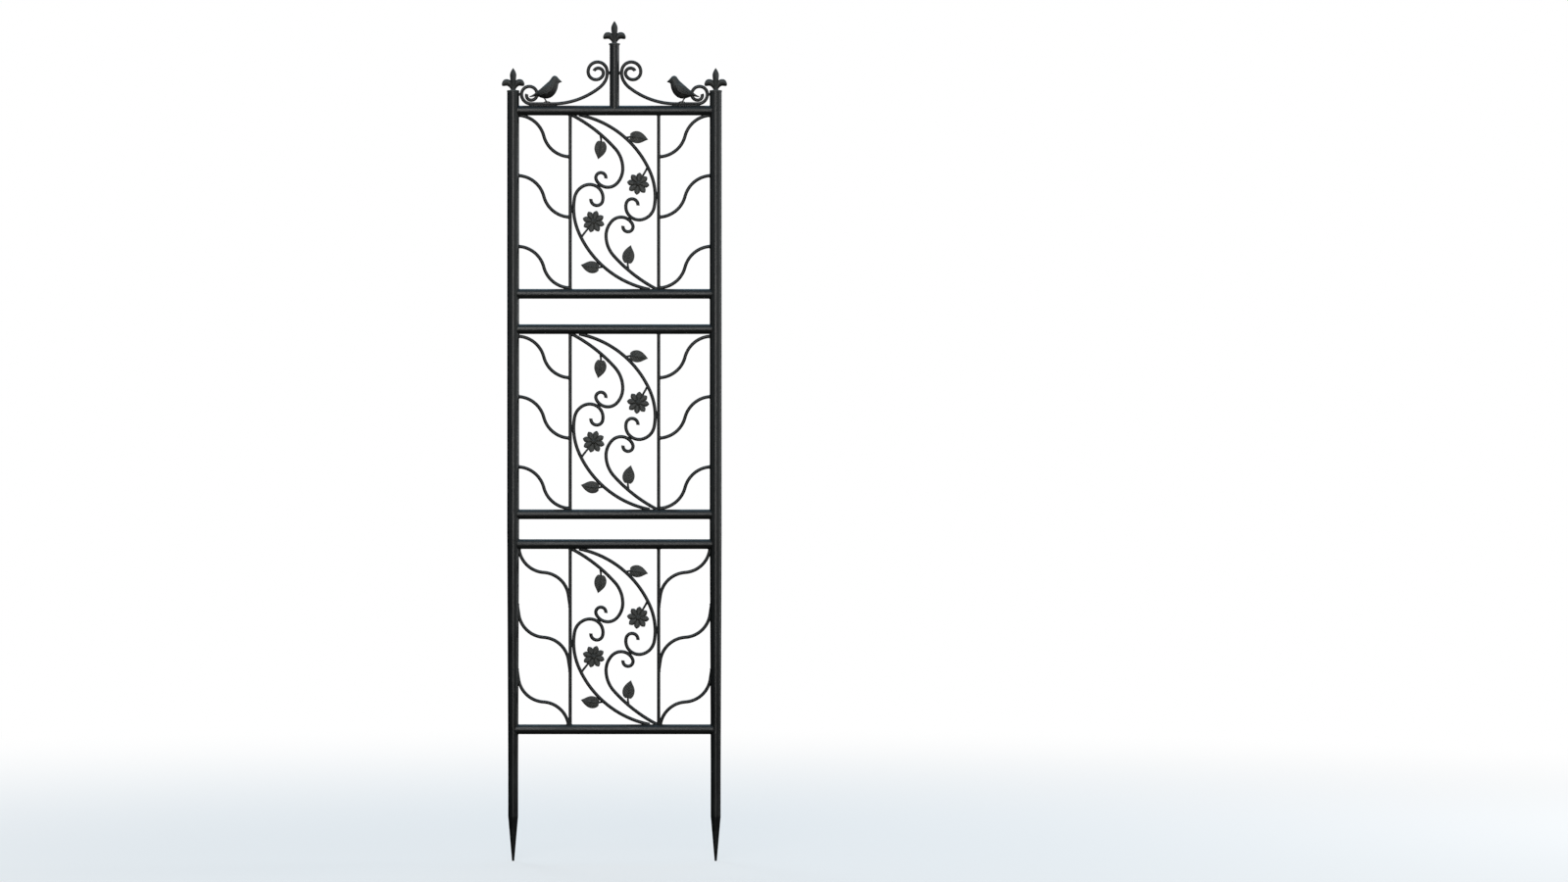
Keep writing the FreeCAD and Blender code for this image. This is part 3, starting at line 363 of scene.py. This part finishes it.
def leafBlade(mesh, shape, base, heading):
    ahead = flat(math.cos(heading), math.sin(heading))
    left = flat(-math.sin(heading), math.cos(heading))
    front = Vector((0, -1, 0))
    across = [-math.cos(math.pi * count / shape["columns"]) for count in range(shape["columns"] + 1)]
    rows = []
    for count in range(shape["rows"] + 1):
        u = (1 - math.cos(math.pi * count / shape["rows"])) / 2
        swell = math.sqrt(max(math.sin(math.pi * u), 0))
        faces = ([], [])
        for v in across:
            outline = shape["upper" if v > 0 else "lower"]
            half = curveThrough(outline, count / shape["rows"]) * shape["halfWidth"]
            away = abs(v) * half
            along = u * shape["length"] - shape["heart"] * (1 - u) ** 6 * min(away / 0.006, 1) ** 1.5
            offset = v * half + shape["sway"] * math.sin(math.pi * u) * (1 - v * v)
            vein = (along - shape["veinSlant"] * away) / shape["veinGap"]
            vein = abs(vein - round(vein)) * shape["veinGap"] * 0.76
            fade = min(u * 7, 1) * max(1 - u, 0) ** 0.35 * (1 - abs(v) ** 5)
            relief = (shape["crown"] * (1 - v * v) * swell
                      + shape["rib"] * ridge(away, shape["ribWidth"]) * (1 - u) ** 0.5 * min(u * 25, 1)
                      + shape["vein"] * ridge(vein, shape["veinWidth"]) * fade
                      - shape["curl"] * u ** 3)
            thick = shape["edge"] + (shape["middle"] - shape["edge"]) * (1 - v * v) * swell
            spot = base + ahead * along + left * offset + front * (relief + shape["edge"] / 2)
            faces[0].append(spot)
            faces[1].append(spot - front * thick)
        rows.append(faces[0] + faces[1][::-1])
    loft(mesh, rows)


def leavesOn(section, kind):
    shape = leafShape
    node = f"{section}_{kind}_scroll_leaves"
    mesh, stems = bmesh.new(), bmesh.new()
    for hand, side in (("left", -1), ("right", 1)):
        points = [point for point in corners(node) if point.x * side > 0]
        rod = skinOf(f"{section}_{hand}_{kind}_scroll")
        if not touching(points, rod):
            rod = skinOf(f"{section}_{'right' if side < 0 else 'left'}_{kind}_scroll")
        root = mean(touching(points, rod))
        root.y = 0
        tip = max(points, key=lambda point: (point - root).length)
        reach, turn = shape["stems"][kind]
        turn = math.radians(turn)
        planned = flat(shape["length"] + reach * math.cos(turn), reach * math.sin(turn))
        real = tip - root
        heading = math.atan2(real.z, real.x) - math.atan2(planned.z, planned.x)
        stemLine = flat(math.cos(heading + turn), math.sin(heading + turn))
        base = root + stemLine * reach
        leafBlade(mesh, shape, base, heading)
        ahead = flat(math.cos(heading), math.sin(heading))
        before, inside, along = shape["ribJoin"]
        line = [root - stemLine * shape["stemSink"], root, base + stemLine * before,
                base + ahead * inside, base + ahead * along]
        steps = shape["stemSteps"]
        path = [curveThrough(line, count / steps) for count in range(steps + 1)]
        radii = [shape["stemRadius"] * (1 - shape["stemTaper"] * (count / steps) ** 2)
                 + shape["stemFlare"] * ridge((spot - root).length, shape["flareLength"])
                 for count, spot in enumerate(path)]
        addBar(stems, path, radii)
    addPiece(f"{section}{kind.title()}ScrollLeaves", mesh, "leaf", f"{section}_section", "leaf", node)
    addPiece(f"{section}{kind.title()}LeafStems", stems, "rod", f"{section}_section", "rod")


for section in sections:
    leavesOn(section, "long")
    leavesOn(section, "short")
print("leaves made: 12 on 6 pieces")


# flowers

flowerShape = {
    "petals": 8, "turn": 22, "inner": 0.0022, "outer": 0.0246, "halfWidth": 0.0067,
    "front": 0.0011, "back": 0.0012, "dome": 0.0026, "backDome": 0.0006, "tipLift": 0.0006,
    "crease": 0.0008, "creaseWidth": 0.13, "ribbing": 0.00025, "ribs": 11,
    "rows": 36, "columns": 16,
    "widths": (0.30, 0.47, 0.71, 0.93, 0.96, 0.73, 0.42, 0.13, 0),  # in even steps of the sweep to the tip
    "heart": 0.0062, "heartRise": 0.0062, "heartBack": 0.0034,
    "seeds": 38, "seedTurn": 2.39996, "seedSpread": 0.86, "seedHeight": 0.0008, "seedSize": 0.00068,
    # the stem starts inside the rod, dips behind the petals and ends under them
    "stemRadius": 0.0024, "stemSink": 0.0026, "stemFlare": 0.0006, "flareLength": 0.0015,
    "stemTaper": 0.3, "stemEnd": 0.0105, "stemDip": 0.0013, "stemSteps": 20,
}


def petal(mesh, shape, centre, heading):
    ahead = flat(math.cos(heading), math.sin(heading))
    left = flat(-math.sin(heading), math.cos(heading))
    front = Vector((0, -1, 0))
    steps, columns = shape["rows"], shape["columns"]
    rows = []
    for count in range(steps + 1):
        u = min(math.sin(math.pi / 2 * count / steps), 1)
        half = curveThrough(shape["widths"], count / steps) * shape["halfWidth"]
        swell = min(1, (1 - u) * 7) ** 0.5
        faces = ([], [])
        for column in range(columns + 1):
            v = -math.cos(math.pi * column / columns)
            spot = centre + ahead * (shape["inner"] + (shape["outer"] - shape["inner"]) * u) + left * v * half
            sink = 0.5 + 0.5 * min(u * 3, 1)
            high = (shape["front"] * swell + shape["dome"] * (1 - v * v) * swell * sink
                    - shape["crease"] * ridge(v, shape["creaseWidth"]) * math.sin(math.pi * min(u, 0.95))
                    + shape["ribbing"] * math.cos(v * shape["ribs"]) * (1 - v * v) * math.sin(math.pi * u)
                    + shape["tipLift"] * u * u)
            low = (-shape["back"] * swell - shape["backDome"] * (1 - v * v) * swell
                   + shape["tipLift"] * u * u)
            faces[0].append(spot + front * high)
            faces[1].append(spot + front * low)
        rows.append(faces[0] + faces[1][::-1])
    loft(mesh, rows)


def flowerHeart(mesh, shape, centre):
    seeds = []
    for count in range(shape["seeds"]):
        distance = shape["heart"] * shape["seedSpread"] * math.sqrt((count + 0.5) / shape["seeds"])
        turn = count * shape["seedTurn"]
        seeds.append((distance * math.cos(turn), distance * math.sin(turn)))
    rows = []
    rings, sides = 26, 72
    for count in range(rings + 1):
        slope = math.pi * count / rings  # from the front pole to the back one
        radius = shape["heart"] * max(math.sin(slope), 0) ** 0.9
        rise = math.cos(slope) * (shape["heartRise"] if slope < math.pi / 2 else shape["heartBack"])
        row = []
        for side in range(sides):
            turn = 2 * math.pi * side / sides
            x, z = radius * math.cos(turn), radius * math.sin(turn)
            bump = 0
            if rise > 0:
                bump = max(ridge(math.hypot(x - seedX, z - seedZ), shape["seedSize"])
                           for seedX, seedZ in seeds)
            row.append(centre + flat(x, z, -rise - bump * shape["seedHeight"]))
        rows.append(row)
    loft(mesh, rows)


def flowerOn(section, hand):
    shape = flowerShape
    node = f"{section}_{hand}_flower"
    points = corners(node)
    nearest = min(point.y for point in points)
    centre = mean([point for point in points if point.y < nearest + 0.0001])
    centre.y = 0
    root = mean(touching(points, skinOf(f"{section}_{hand}_long_scroll")))
    root.y = 0
    line = (centre - root).normalized()
    mesh, stem = bmesh.new(), bmesh.new()
    firstPetal = math.atan2(line.z, line.x) + math.radians(shape["turn"])
    for count in range(shape["petals"]):
        petal(mesh, shape, centre, firstPetal + 2 * math.pi * count / shape["petals"])
    flowerHeart(mesh, shape, centre)
    reach = (centre - root).length
    end = reach - shape["stemEnd"]
    path, radii = [], []
    for count in range(shape["stemSteps"] + 1):
        share = count / shape["stemSteps"]
        spot = root + line * (end * share - shape["stemSink"] * (1 - share))
        spot.y += shape["stemDip"] * share ** 4
        path.append(spot)
        radii.append(shape["stemRadius"] * (1 - shape["stemTaper"] * share ** 4)
                     + shape["stemFlare"] * ridge((spot - root).length, shape["flareLength"]))
    addBar(stem, path, radii)
    addPiece(f"{section}{hand.title()}Flower", mesh, "leaf", f"{section}_section", "casting", node)
    addPiece(f"{section}{hand.title()}FlowerStem", stem, "rod", f"{section}_section", "rod")


for section in sections:
    flowerOn(section, "left")
    flowerOn(section, "right")
print("flowers made: 6")


# finials

finialShape = {
    "flange": 0.0035, "plug": 0.014, "halfSpan": 0.0251, "lobeThickness": 0.0094, "neck": 0.23,
    "wall": 0.0011,  # of the tube that the plug goes into, with its play
    # height as a share of the rise, then half width and half depth as shares of the half span
    "spear": [(0, 0.23, 0.23), (0.05, 0.205, 0.21), (0.18, 0.205, 0.2), (0.36, 0.235, 0.22),
              (0.5, 0.26, 0.23), (0.62, 0.28, 0.24), (0.7, 0.283, 0.23), (0.79, 0.24, 0.19),
              (0.88, 0.16, 0.13), (0.95, 0.075, 0.07), (1, 0.0, 0.0)],
    "spearRows": 60, "spearSides": 40, "bladeFrom": 0.45, "bladeEdge": 0.55,
    "spearRidge": 0.1, "lobeRidge": 0.16, "lobeRows": 56, "lobeSides": 36, "turnedSides": 64,
    # lobe outline from the neck to its drooping tip: share of the half span, share of the rise
    "lobeTop": [(0.06, 0.2), (0.15, 0.36), (0.26, 0.452), (0.4, 0.492), (0.58, 0.505), (0.75, 0.485),
                (0.88, 0.43), (0.965, 0.345), (0.99, 0.265), (0.955, 0.205)],
    "lobeUnder": [(0.15, 0.01), (0.23, 0.06), (0.31, 0.12), (0.42, 0.172), (0.53, 0.198), (0.64, 0.198),
                  (0.74, 0.191), (0.83, 0.188), (0.9, 0.191), (0.955, 0.205)],
}


def finial(name, node, tube):
    shape = finialShape
    low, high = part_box(node)
    middle = (low.x + high.x) / 2
    tubeLow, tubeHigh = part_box(tube)
    seat = tubeHigh.z
    bore = (tubeHigh.x - tubeLow.x) / 2 - shape["wall"]
    rim = (high.y - low.y) / 2
    rise = high.z - seat - shape["flange"]  # above the flange
    half = shape["halfSpan"]
    mesh = bmesh.new()
    # turned plug and flange with eased edges and a small fillet up to the neck
    neck, plug, flange = shape["neck"] * half, shape["plug"], shape["flange"]
    turned = [(0, -plug), (bore - 0.0008, -plug), (bore, -plug + 0.0008), (bore, -0.0002),
              (rim - 0.0005, 0.0), (rim, 0.0005), (rim, flange - 0.0009),
              (rim - 0.0003, flange - 0.0003), (rim - 0.0009, flange),
              (neck + 0.0022, flange + 0.0001), (neck + 0.0008, flange + 0.0007),
              (neck * 0.9, flange + 0.0024), (0, flange + 0.0024)]
    sides = shape["turnedSides"]
    loft(mesh, [[Vector((middle + radius * math.cos(turn), radius * math.sin(turn), seat + up))
                 for turn in (2 * math.pi * side / sides for side in range(sides))]
                for radius, up in turned])
    # spear, ridged down its front, back and sides
    spear = [Vector(row) for row in shape["spear"]]
    rows = []
    for count in range(shape["spearRows"] + 1):
        up, wide, deep = curveThrough(spear, count / shape["spearRows"])
        # round at the neck, sharp-edged at the blade
        edge = 1 + shape["bladeEdge"] * min(max((up - shape["bladeFrom"]) / 0.2, 0), 1)
        row = []
        for side in range(shape["spearSides"]):
            turn = 2 * math.pi * side / shape["spearSides"]
            x = math.copysign(abs(math.cos(turn)) ** edge, math.cos(turn)) * max(wide, 0) * half
            y = math.copysign(abs(math.sin(turn)) ** edge, math.sin(turn)) * max(deep, 0) * half
            y *= 1 + shape["spearRidge"] * ridge(math.cos(turn), 0.18)
            row.append(Vector((middle + x, y, seat + flange + rise * min(up, 1))))
        rows.append(row)
    loft(mesh, rows)
    # drooping lobes either side
    top = [flat(x, z) for x, z in shape["lobeTop"]]
    under = [flat(x, z) for x, z in shape["lobeUnder"]]
    for hand in (-1, 1):
        rows = []
        for count in range(shape["lobeRows"] + 1):
            share = 1 - (1 - count / shape["lobeRows"]) ** 1.6  # rows crowd towards the tip
            upper, lower = curveThrough(top, share), curveThrough(under, share)
            centre, across = (upper + lower) / 2, (upper - lower) / 2
            thick = (shape["lobeThickness"] / 2 * (0.82 + 0.18 * math.sin(math.pi * share))
                     * min(1, (1 - share) * 9) ** 0.5)
            row = []
            for side in range(shape["lobeSides"]):
                turn = 2 * math.pi * side / shape["lobeSides"]
                spot = centre + across * math.cos(turn)
                bulge = math.sin(turn) * (1 + shape["lobeRidge"] * ridge(math.cos(turn) - 0.1, 0.22))
                row.append(Vector((middle + hand * spot.x * half, bulge * thick,
                                   seat + flange + spot.z * rise)))
            rows.append(row)
        loft(mesh, rows)
    addPiece(name, mesh, "casting", "upper_section", "casting", node, crease=40)


finial("leftFinial", "left_finial", "upper_left_upright")
finial("rightFinial", "right_finial", "upper_right_upright")
finial("crestFinial", "crest_finial", "crest_post")
print("finials made: 3")


# songbirds on the crest scrolls

birdShape = {
    # plan sizes in mm from the foot, fitted to the box that the bird has to fill
    "length": 71.0, "height": 57.7, "low": -37.4,
    # tail to beak: back x, z, belly x, z, half width
    "stations": [(-37.4, 12.6, -36.2, 10.8, 4.4), (-32, 15.2, -30.3, 11.6, 4.9),
                 (-26, 19.3, -23.5, 12.7, 5.3), (-20.3, 24.0, -17.5, 11.7, 6.6),
                 (-14.1, 28.8, -12, 9.7, 8.8), (-8.5, 33.9, -4.5, 7.9, 10.8),
                 (-3.5, 38.2, 4, 8.3, 11.8), (1.2, 42.4, 12, 11.9, 12.0), (5.4, 46.2, 18.8, 18.8, 11.4),
                 (8.2, 49.6, 22.8, 26.4, 10.4), (10.1, 52.4, 24.7, 32.6, 9.5), (12.3, 55.4, 25.4, 37.2, 8.8),
                 (15.4, 57.4, 25.9, 39.4, 8.4), (18.9, 57.7, 26.5, 40.7, 7.6), (22.2, 56.3, 27.4, 41.6, 6.2),
                 (25.2, 53.3, 28.4, 42.1, 4.4), (28.1, 49.9, 29.9, 42.7, 2.9), (31, 47.1, 31.8, 43.3, 1.6),
                 (33.5, 45.0, 33.6, 44.2, 0.3)],
    "shoulder": (14.0, 36.0), "wingTip": (-24.5, 17.5), "wingRelief": 2.3, "featherRelief": 0.5,
    "wingLow": [(0, 2.0), (0.1, 8.0), (0.21, 10.4), (0.4, 12.2), (0.61, 10.8), (0.86, 6.4), (1, 0.8)],
    "wingHigh": [(0, 2.0), (0.15, 5.6), (0.4, 6.6), (0.7, 4.6), (1, 0.6)],
    # the wing eases down to the body over its rim; past flightFrom its feathers are the long ones
    "wingRim": 0.7, "flightFrom": 0.42, "wingLength": 44, "covertLength": 4.2, "covertWidth": 3.6,
    "tailShare": 0.2, "tailGroove": 0.35, "fluff": 0.22,
    "eye": (21.4, 50.8), "eyeSize": 1.3, "eyeOut": 7.4, "leg": 1.5, "legTop": (-7.6, 12.6),
    # toes: reach ahead and spread to the side
    "toes": ((7.5, -2.1), (8.4, 0.0), (7.5, 2.1), (-6.0, 0.3)), "toeRadius": 1.05,
    "rows": 170, "columns": 112,
}


def wingCover(shape, x, z):
    # how far the folded wing stands out over the body at a spot seen from the side
    shoulder, tip = Vector(shape["shoulder"]), Vector(shape["wingTip"])
    line = (tip - shoulder).normalized()
    spot = Vector((x, z)) - shoulder
    along = spot.dot(line) / (tip - shoulder).length
    above = line.y * spot.x - line.x * spot.y  # towards the back
    if not 0 < along < 1:
        return 0
    limit = widthAt(shape["wingHigh"], along) if above > 0 else widthAt(shape["wingLow"], along)
    cover = min(max((limit - abs(above)) / shape["wingRim"], 0), 1)
    cover = cover * cover * (3 - 2 * cover)
    if along > shape["flightFrom"]:  # long flight feathers fanned towards the tip
        comb = math.cos((above + limit * 0.2) / (1.1 + 0.9 * (1 - along)) * math.pi)
    else:  # short coverts lapped like scales
        row = along * shape["wingLength"] / shape["covertLength"]
        column = above / shape["covertWidth"] + 0.5 * (int(row) % 2)
        comb = (1 - (2 * (column - round(column))) ** 2) * (0.25 + 0.75 * (row % 1)) * 1.8 - 0.6
    return cover * (shape["wingRelief"] * (0.75 + 0.25 * (1 - along)) + shape["featherRelief"] * comb)


def bird(name, node, facing):
    shape = birdShape
    low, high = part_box(node)
    stretchX = (high.x - low.x) * 1000 / shape["length"]
    stretchZ = (high.z - low.z) * 1000 / shape["height"]

    def seated(x, z, y=0.0):  # from the bird's own plan in mm to where it perches
        across = (x - shape["low"]) / 1000 * stretchX
        x = low.x + across if facing > 0 else high.x - across
        return Vector((x, y / 1000, low.z + z / 1000 * stretchZ))

    mesh = bmesh.new()
    bellies = [Vector(row[2:]) for row in shape["stations"]]
    backs = [Vector((row[0], row[1], 0)) for row in shape["stations"]]
    rows = []
    for count in range(shape["rows"] + 1):
        share = count / shape["rows"]
        back, belly = curveThrough(backs, share), curveThrough(bellies, share)
        centreX, centreZ = (back.x + belly.x) / 2, (back.y + belly.y) / 2
        reachX, reachZ = (back.x - belly.x) / 2, (back.y - belly.y) / 2
        half = max(belly.z, 0.1)
        row = []
        for column in range(shape["columns"]):
            turn = 2 * math.pi * column / shape["columns"]
            upward, sideways = math.cos(turn), math.sin(turn)
            x, z = centreX + reachX * upward, centreZ + reachZ * upward
            y = half * math.copysign(abs(sideways) ** 0.92, sideways)
            y += math.copysign(wingCover(shape, x, z), sideways) * min(1, abs(sideways) * 1.6)
            if share < shape["tailShare"] and upward > 0:  # tail feathers
                groove = shape["tailGroove"] * math.cos(y * 2.1) * (shape["tailShare"] - share) * 5
                x, z = x + groove * 0.5, z + groove
            fluff = 0
            if 0.2 < share < 0.8:
                fluff = shape["fluff"] * noise(Vector((x * 0.5, y * 0.5, z * 0.5)))
            y += math.copysign(fluff, sideways) * abs(sideways)
            row.append(seated(x, z, y))
        rows.append(row)
    loft(mesh, rows)
    # eyes: a small bead in each side of the head
    eyeX, eyeZ = shape["eye"]
    for hand in (-1, 1):
        rows = []
        for ring in range(9):
            slope = math.pi * ring / 8
            rows.append([seated(eyeX + shape["eyeSize"] * math.sin(slope) * math.cos(turn),
                                eyeZ + shape["eyeSize"] * math.sin(slope) * math.sin(turn),
                                hand * shape["eyeOut"] + shape["eyeSize"] * 0.8 * math.cos(slope))
                         for turn in (2 * math.pi * side / 20 for side in range(20))])
        loft(mesh, rows)
    # one thin leg, with toes gripping the rod
    thigh, ankle = Vector(shape["legTop"]), Vector((0, 1.0))
    path = [seated(*thigh.lerp(ankle, count / 14)) for count in range(15)]
    radii = [0.001 * (shape["leg"] + 1.5 * ridge(count, 3.5) + 0.5 * ridge(count - 14, 2))
             for count in range(15)]
    addBar(mesh, path, radii)
    for ahead, spread in shape["toes"]:
        toe = [seated(0, 1.0), seated(ahead * 0.35, 1.25, spread * 0.55),
               seated(ahead * 0.75, 0.7, spread * 1.05), seated(ahead, -0.5, spread * 1.3)]
        path = [curveThrough(toe, count / 12) for count in range(13)]
        radii = [shape["toeRadius"] / 1000 * (1 - 0.5 * count / 12) for count in range(13)]
        addBar(mesh, path, radii, sides=12)
    addPiece(name, mesh, "casting", "upper_section", "casting", node, crease=60)


bird("leftBird", "left_bird", 1)
bird("rightBird", "right_bird", -1)
print("songbirds made: 2")


# weld beads, found where one bar's end meets the skin of another

weldShape = {
    "bead": 0.00085, "ripple": 0.16, "rippleLength": 0.0016, "roughness": 0.35, "grain": 260,
    "tack": 0.0013, "tackLength": 0.0042, "tackFromMiddle": 0.0021,
    # reach over the root gap, and how near the points of one weld lie to each other
    "gap": 0.00028, "link": 0.005,
    # where a rim is shorter, or is met in fewer directions, the bars are tacked instead
    "shortestRim": 0.012, "fewestSpots": 9,
    "directions": 20, "points": 56, "sides": 12, "seat": 0.00025,
}


def rankOf(node):  # a bar is welded on to one of lower rank
    words = ("upright", "crest_post", "rail", "inner_rod", "long_scroll", "scroll", "wave_rods")
    for rank, word in enumerate(words):
        if word in node:
            return rank
    return None


def clusters(points, link):
    groups = []
    for point in points:
        near = [group for group in groups if any((point - other).length < link for other in group)]
        merged = [point] + [other for group in near for other in group]
        groups = [group for group in groups if group not in near] + [merged]
    return groups


def beadRound(mesh, points, skin):
    # a rippled bead round a welded end
    shape = weldShape
    centre = mean(points)
    outward = mean([skin.find_nearest(point)[1] for point in points]).normalized()
    first = outward.orthogonal().normalized()
    second = outward.cross(first)
    farthest = {}
    for point in points:
        turn = math.atan2((point - centre).dot(second), (point - centre).dot(first))
        slot = int((turn / (2 * math.pi) + 0.5) * shape["directions"]) % shape["directions"]
        away = (point - centre) - outward * (point - centre).dot(outward)
        if slot not in farthest or away.length > farthest[slot][0]:
            farthest[slot] = (away.length, point)
    rim = [farthest[slot][1] for slot in sorted(farthest)]
    if len(rim) < shape["fewestSpots"]:
        return False
    lengths = [(after - before).length for before, after in zip(rim, rim[1:] + rim[:1])]
    total = sum(lengths)
    if total < shape["shortestRim"]:
        return False
    line = []
    for count in range(shape["points"]):  # evenly spaced round the rim
        goal, index = total * count / shape["points"], 0
        while goal > lengths[index]:
            goal -= lengths[index]
            index += 1
        spot = rim[index].lerp(rim[(index + 1) % len(rim)], goal / max(lengths[index], 1e-9))
        near = skin.find_nearest(spot)
        line.append(near[0] + near[1] * shape["seat"])
    for smoothing in range(2):
        line = [(line[index - 1] + line[index] * 2 + line[(index + 1) % len(line)]) / 4
                for index in range(len(line))]
    rows = []
    for index, spot in enumerate(line):
        ahead = (line[(index + 1) % len(line)] - line[index - 1]).normalized()
        away = (spot - centre).normalized()
        away = (away - ahead * away.dot(ahead)).normalized()
        upward = ahead.cross(away)
        travel = total * index / len(line)
        size = shape["bead"] * (1 + shape["ripple"] * math.sin(travel / shape["rippleLength"] * 2 * math.pi)
                                + shape["roughness"] * noise(spot * shape["grain"]))
        rows.append([spot + (away * math.cos(turn) + upward * math.sin(turn)) * size
                     for turn in (2 * math.pi * side / shape["sides"] for side in range(shape["sides"]))])
    loft(mesh, rows, closed=True)
    return True


def tackBetween(mesh, points, skin):
    # short beads in the front and back crease of two bars that touch side by side
    shape = weldShape
    centre = mean(points)
    outward = skin.find_nearest(centre)[1]
    outward.y = 0
    along = outward.normalized().cross(Vector((0, 1, 0)))
    for face in (-1, 1):
        steps = [count / 12 * 2 - 1 for count in range(13)]
        path = [centre + along * shape["tackLength"] * step + Vector((0, face * shape["tackFromMiddle"], 0))
                for step in steps]
        radii = [shape["tack"] * (0.35 + 0.65 * math.sqrt(1 - step * step * 0.96))
                 * (1 + 0.06 * math.sin(step * 11) + 0.3 * noise(centre * 90 + Vector((step * 2, face, 0))))
                 for step in steps]
        addBar(mesh, path, radii, sides=12)


def weldsOf(section):
    members = [node for node, part in frame["nodes"].items()
               if part["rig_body"] == f"{section}_section" and rankOf(node) is not None]
    skins = {node: skinOf(node) for node in members}
    points = {node: corners(node) for node in members}
    mesh = bmesh.new()
    beads = tacks = 0
    for guest in members:
        for host in members:
            if rankOf(guest) <= rankOf(host):
                continue
            low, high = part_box(host)
            margin = Vector((0.001,) * 3)
            low, high = low - margin, high + margin
            inside = [point for point in points[guest]
                      if all(low[axis] < point[axis] < high[axis] for axis in range(3))]
            for group in clusters(touching(inside, skins[host], weldShape["gap"]), weldShape["link"]):
                if beadRound(mesh, group, skins[host]):
                    beads += 1
                else:
                    tackBetween(mesh, group, skins[host])
                    tacks += 1
    addPiece(f"{section}Welds", mesh, "weld", f"{section}_section", "rod")
    print(section, "welds:", beads, "beads,", tacks, "tacks")


for section in sections:
    weldsOf(section)


# floor, light and camera

studio = {
    "floorSize": 60, "floorShade": (0.90, 0.90, 0.89, 1), "speckleShade": (0.84, 0.84, 0.83, 1),
    "speckleSize": 30, "speckleShare": 0.1,
    # the floor glows into the backdrop, fully so from this far out
    "glowFrom": 0.6, "glowFull": 4.5, "leastGlow": 0.55, "backdrop": (1, 1, 1, 1),
    # soft light from all round: from this level of the sky upwards
    "skyFrom": -0.05, "low": (0.004, 0.004, 0.0025, 1), "high": (0.20, 0.34, 0.46, 1),
    "distance": 9.503, "height": 0.916, "lens": 100, "sensor": 36, "shift": 0.10815,
}


def lay(name, size):
    mesh = bmesh.new()
    bmesh.ops.create_circle(mesh, cap_ends=True, segments=96, radius=size / 2)
    data = bpy.data.meshes.new(name)
    mesh.to_mesh(data)
    mesh.free()
    floor = bpy.data.objects.new(name, data)
    bpy.context.scene.collection.objects.link(floor)
    return floor


floor = lay("studioFloor", studio["floorSize"])
floor.visible_glossy = floor.visible_diffuse = False
material, coat = newMaterial("paleFloor")
place = coat.node("TexCoord", output="Object")
distance = coat.node("VectorMath", {"operation": "LENGTH"}, {0: place}, "Value")
speckle = coat.node("TexNoise", (), {"Vector": place, "Scale": studio["speckleSize"], "Detail": 4})
shade = coat.mixed(speckle * studio["speckleShare"], studio["floorShade"], studio["speckleShade"])
matt = coat.node("BsdfDiffuse", (), {"Color": shade})
glow = coat.node("Emission", (), {"Color": studio["backdrop"], "Strength": 1.0})
glowing = coat.within(distance, studio["glowFrom"], studio["glowFull"])
glowing = glowing * (1 - studio["leastGlow"]) + studio["leastGlow"]
blend = coat.node("MixShader", (), {0: glowing, 1: matt, 2: glow})
coat.node("OutputMaterial", (), {"Surface": blend})
floor.data.materials.append(material)

world = bpy.context.scene.world or bpy.data.worlds.new("studioWorld")
bpy.context.scene.world = world
world.use_nodes = True
sky = Coat(world.node_tree)
upward = sky.node("SeparateXYZ", (), {"Vector": sky.node("TexCoord", output="Generated")}, "Z")
ambient = sky.mixed(sky.within(upward, studio["skyFrom"], 1.0), studio["low"], studio["high"])
seen = sky.node("LightPath", output="Is Camera Ray")
colour = sky.mixed(seen, ambient, studio["backdrop"])
sky.node("OutputWorld", (), {"Surface": sky.node("Background", (), {"Color": colour, "Strength": 1.0})})

# panels: name, azimuth from the front, elevation, distance, width, height, watts, colour
panels = (("keyPanel", -10, 34, 4.6, 1.5, 1.2, 36, (1.0, 0.985, 0.96)),
          ("frontFill", 1, 5, 6.5, 2.4, 2.6, 86, (1.0, 0.99, 0.97)),
          ("rightFill", 58, 8, 4.4, 4.0, 2.6, 25, (0.98, 1.0, 0.98)),
          ("leftFill", -62, 8, 4.6, 4.0, 2.6, 7.5, (0.95, 1.0, 1.0)),
          ("rightRim", 104, 12, 3.6, 0.9, 3.0, 38, (0.96, 0.98, 1.0)),
          ("skyPanel", 178, 62, 4.4, 3.2, 1.6, 42, (0.45, 0.76, 1.0)),
          ("backFill", 205, 24, 6.0, 1.6, 2.0, 60, (1.0, 1.0, 1.0)))
target = (cadBox[0] + cadBox[1]) / 2
for name, azimuth, elevation, distance, wide, tall, watts, colour in panels:
    lamp = bpy.data.lights.new(name, "AREA")
    lamp.shape, lamp.size, lamp.size_y = "RECTANGLE", wide, tall
    lamp.energy, lamp.color = watts, colour
    turn, lift = math.radians(azimuth), math.radians(elevation)
    away = Vector((math.sin(turn) * math.cos(lift), -math.cos(turn) * math.cos(lift), math.sin(lift)))
    holder = bpy.data.objects.new(name, lamp)
    holder.location = target + away * distance
    holder.rotation_mode = "QUATERNION"
    holder.rotation_quaternion = (-away).to_track_quat("-Z", "Y")
    holder.visible_camera = False
    bpy.context.scene.collection.objects.link(holder)

camera = bpy.data.objects.new("studioCamera", bpy.data.cameras.new("studioCamera"))
bpy.context.scene.collection.objects.link(camera)
camera.location = (0, -studio["distance"], studio["height"])
camera.rotation_euler = (math.pi / 2, 0, 0)
camera.data.lens, camera.data.sensor_width = studio["lens"], studio["sensor"]
camera.data.shift_x = studio["shift"]
camera.data.clip_end = 200
bpy.context.scene.camera = camera
bpy.context.scene.view_settings.view_transform = "Standard"
print("studio set")
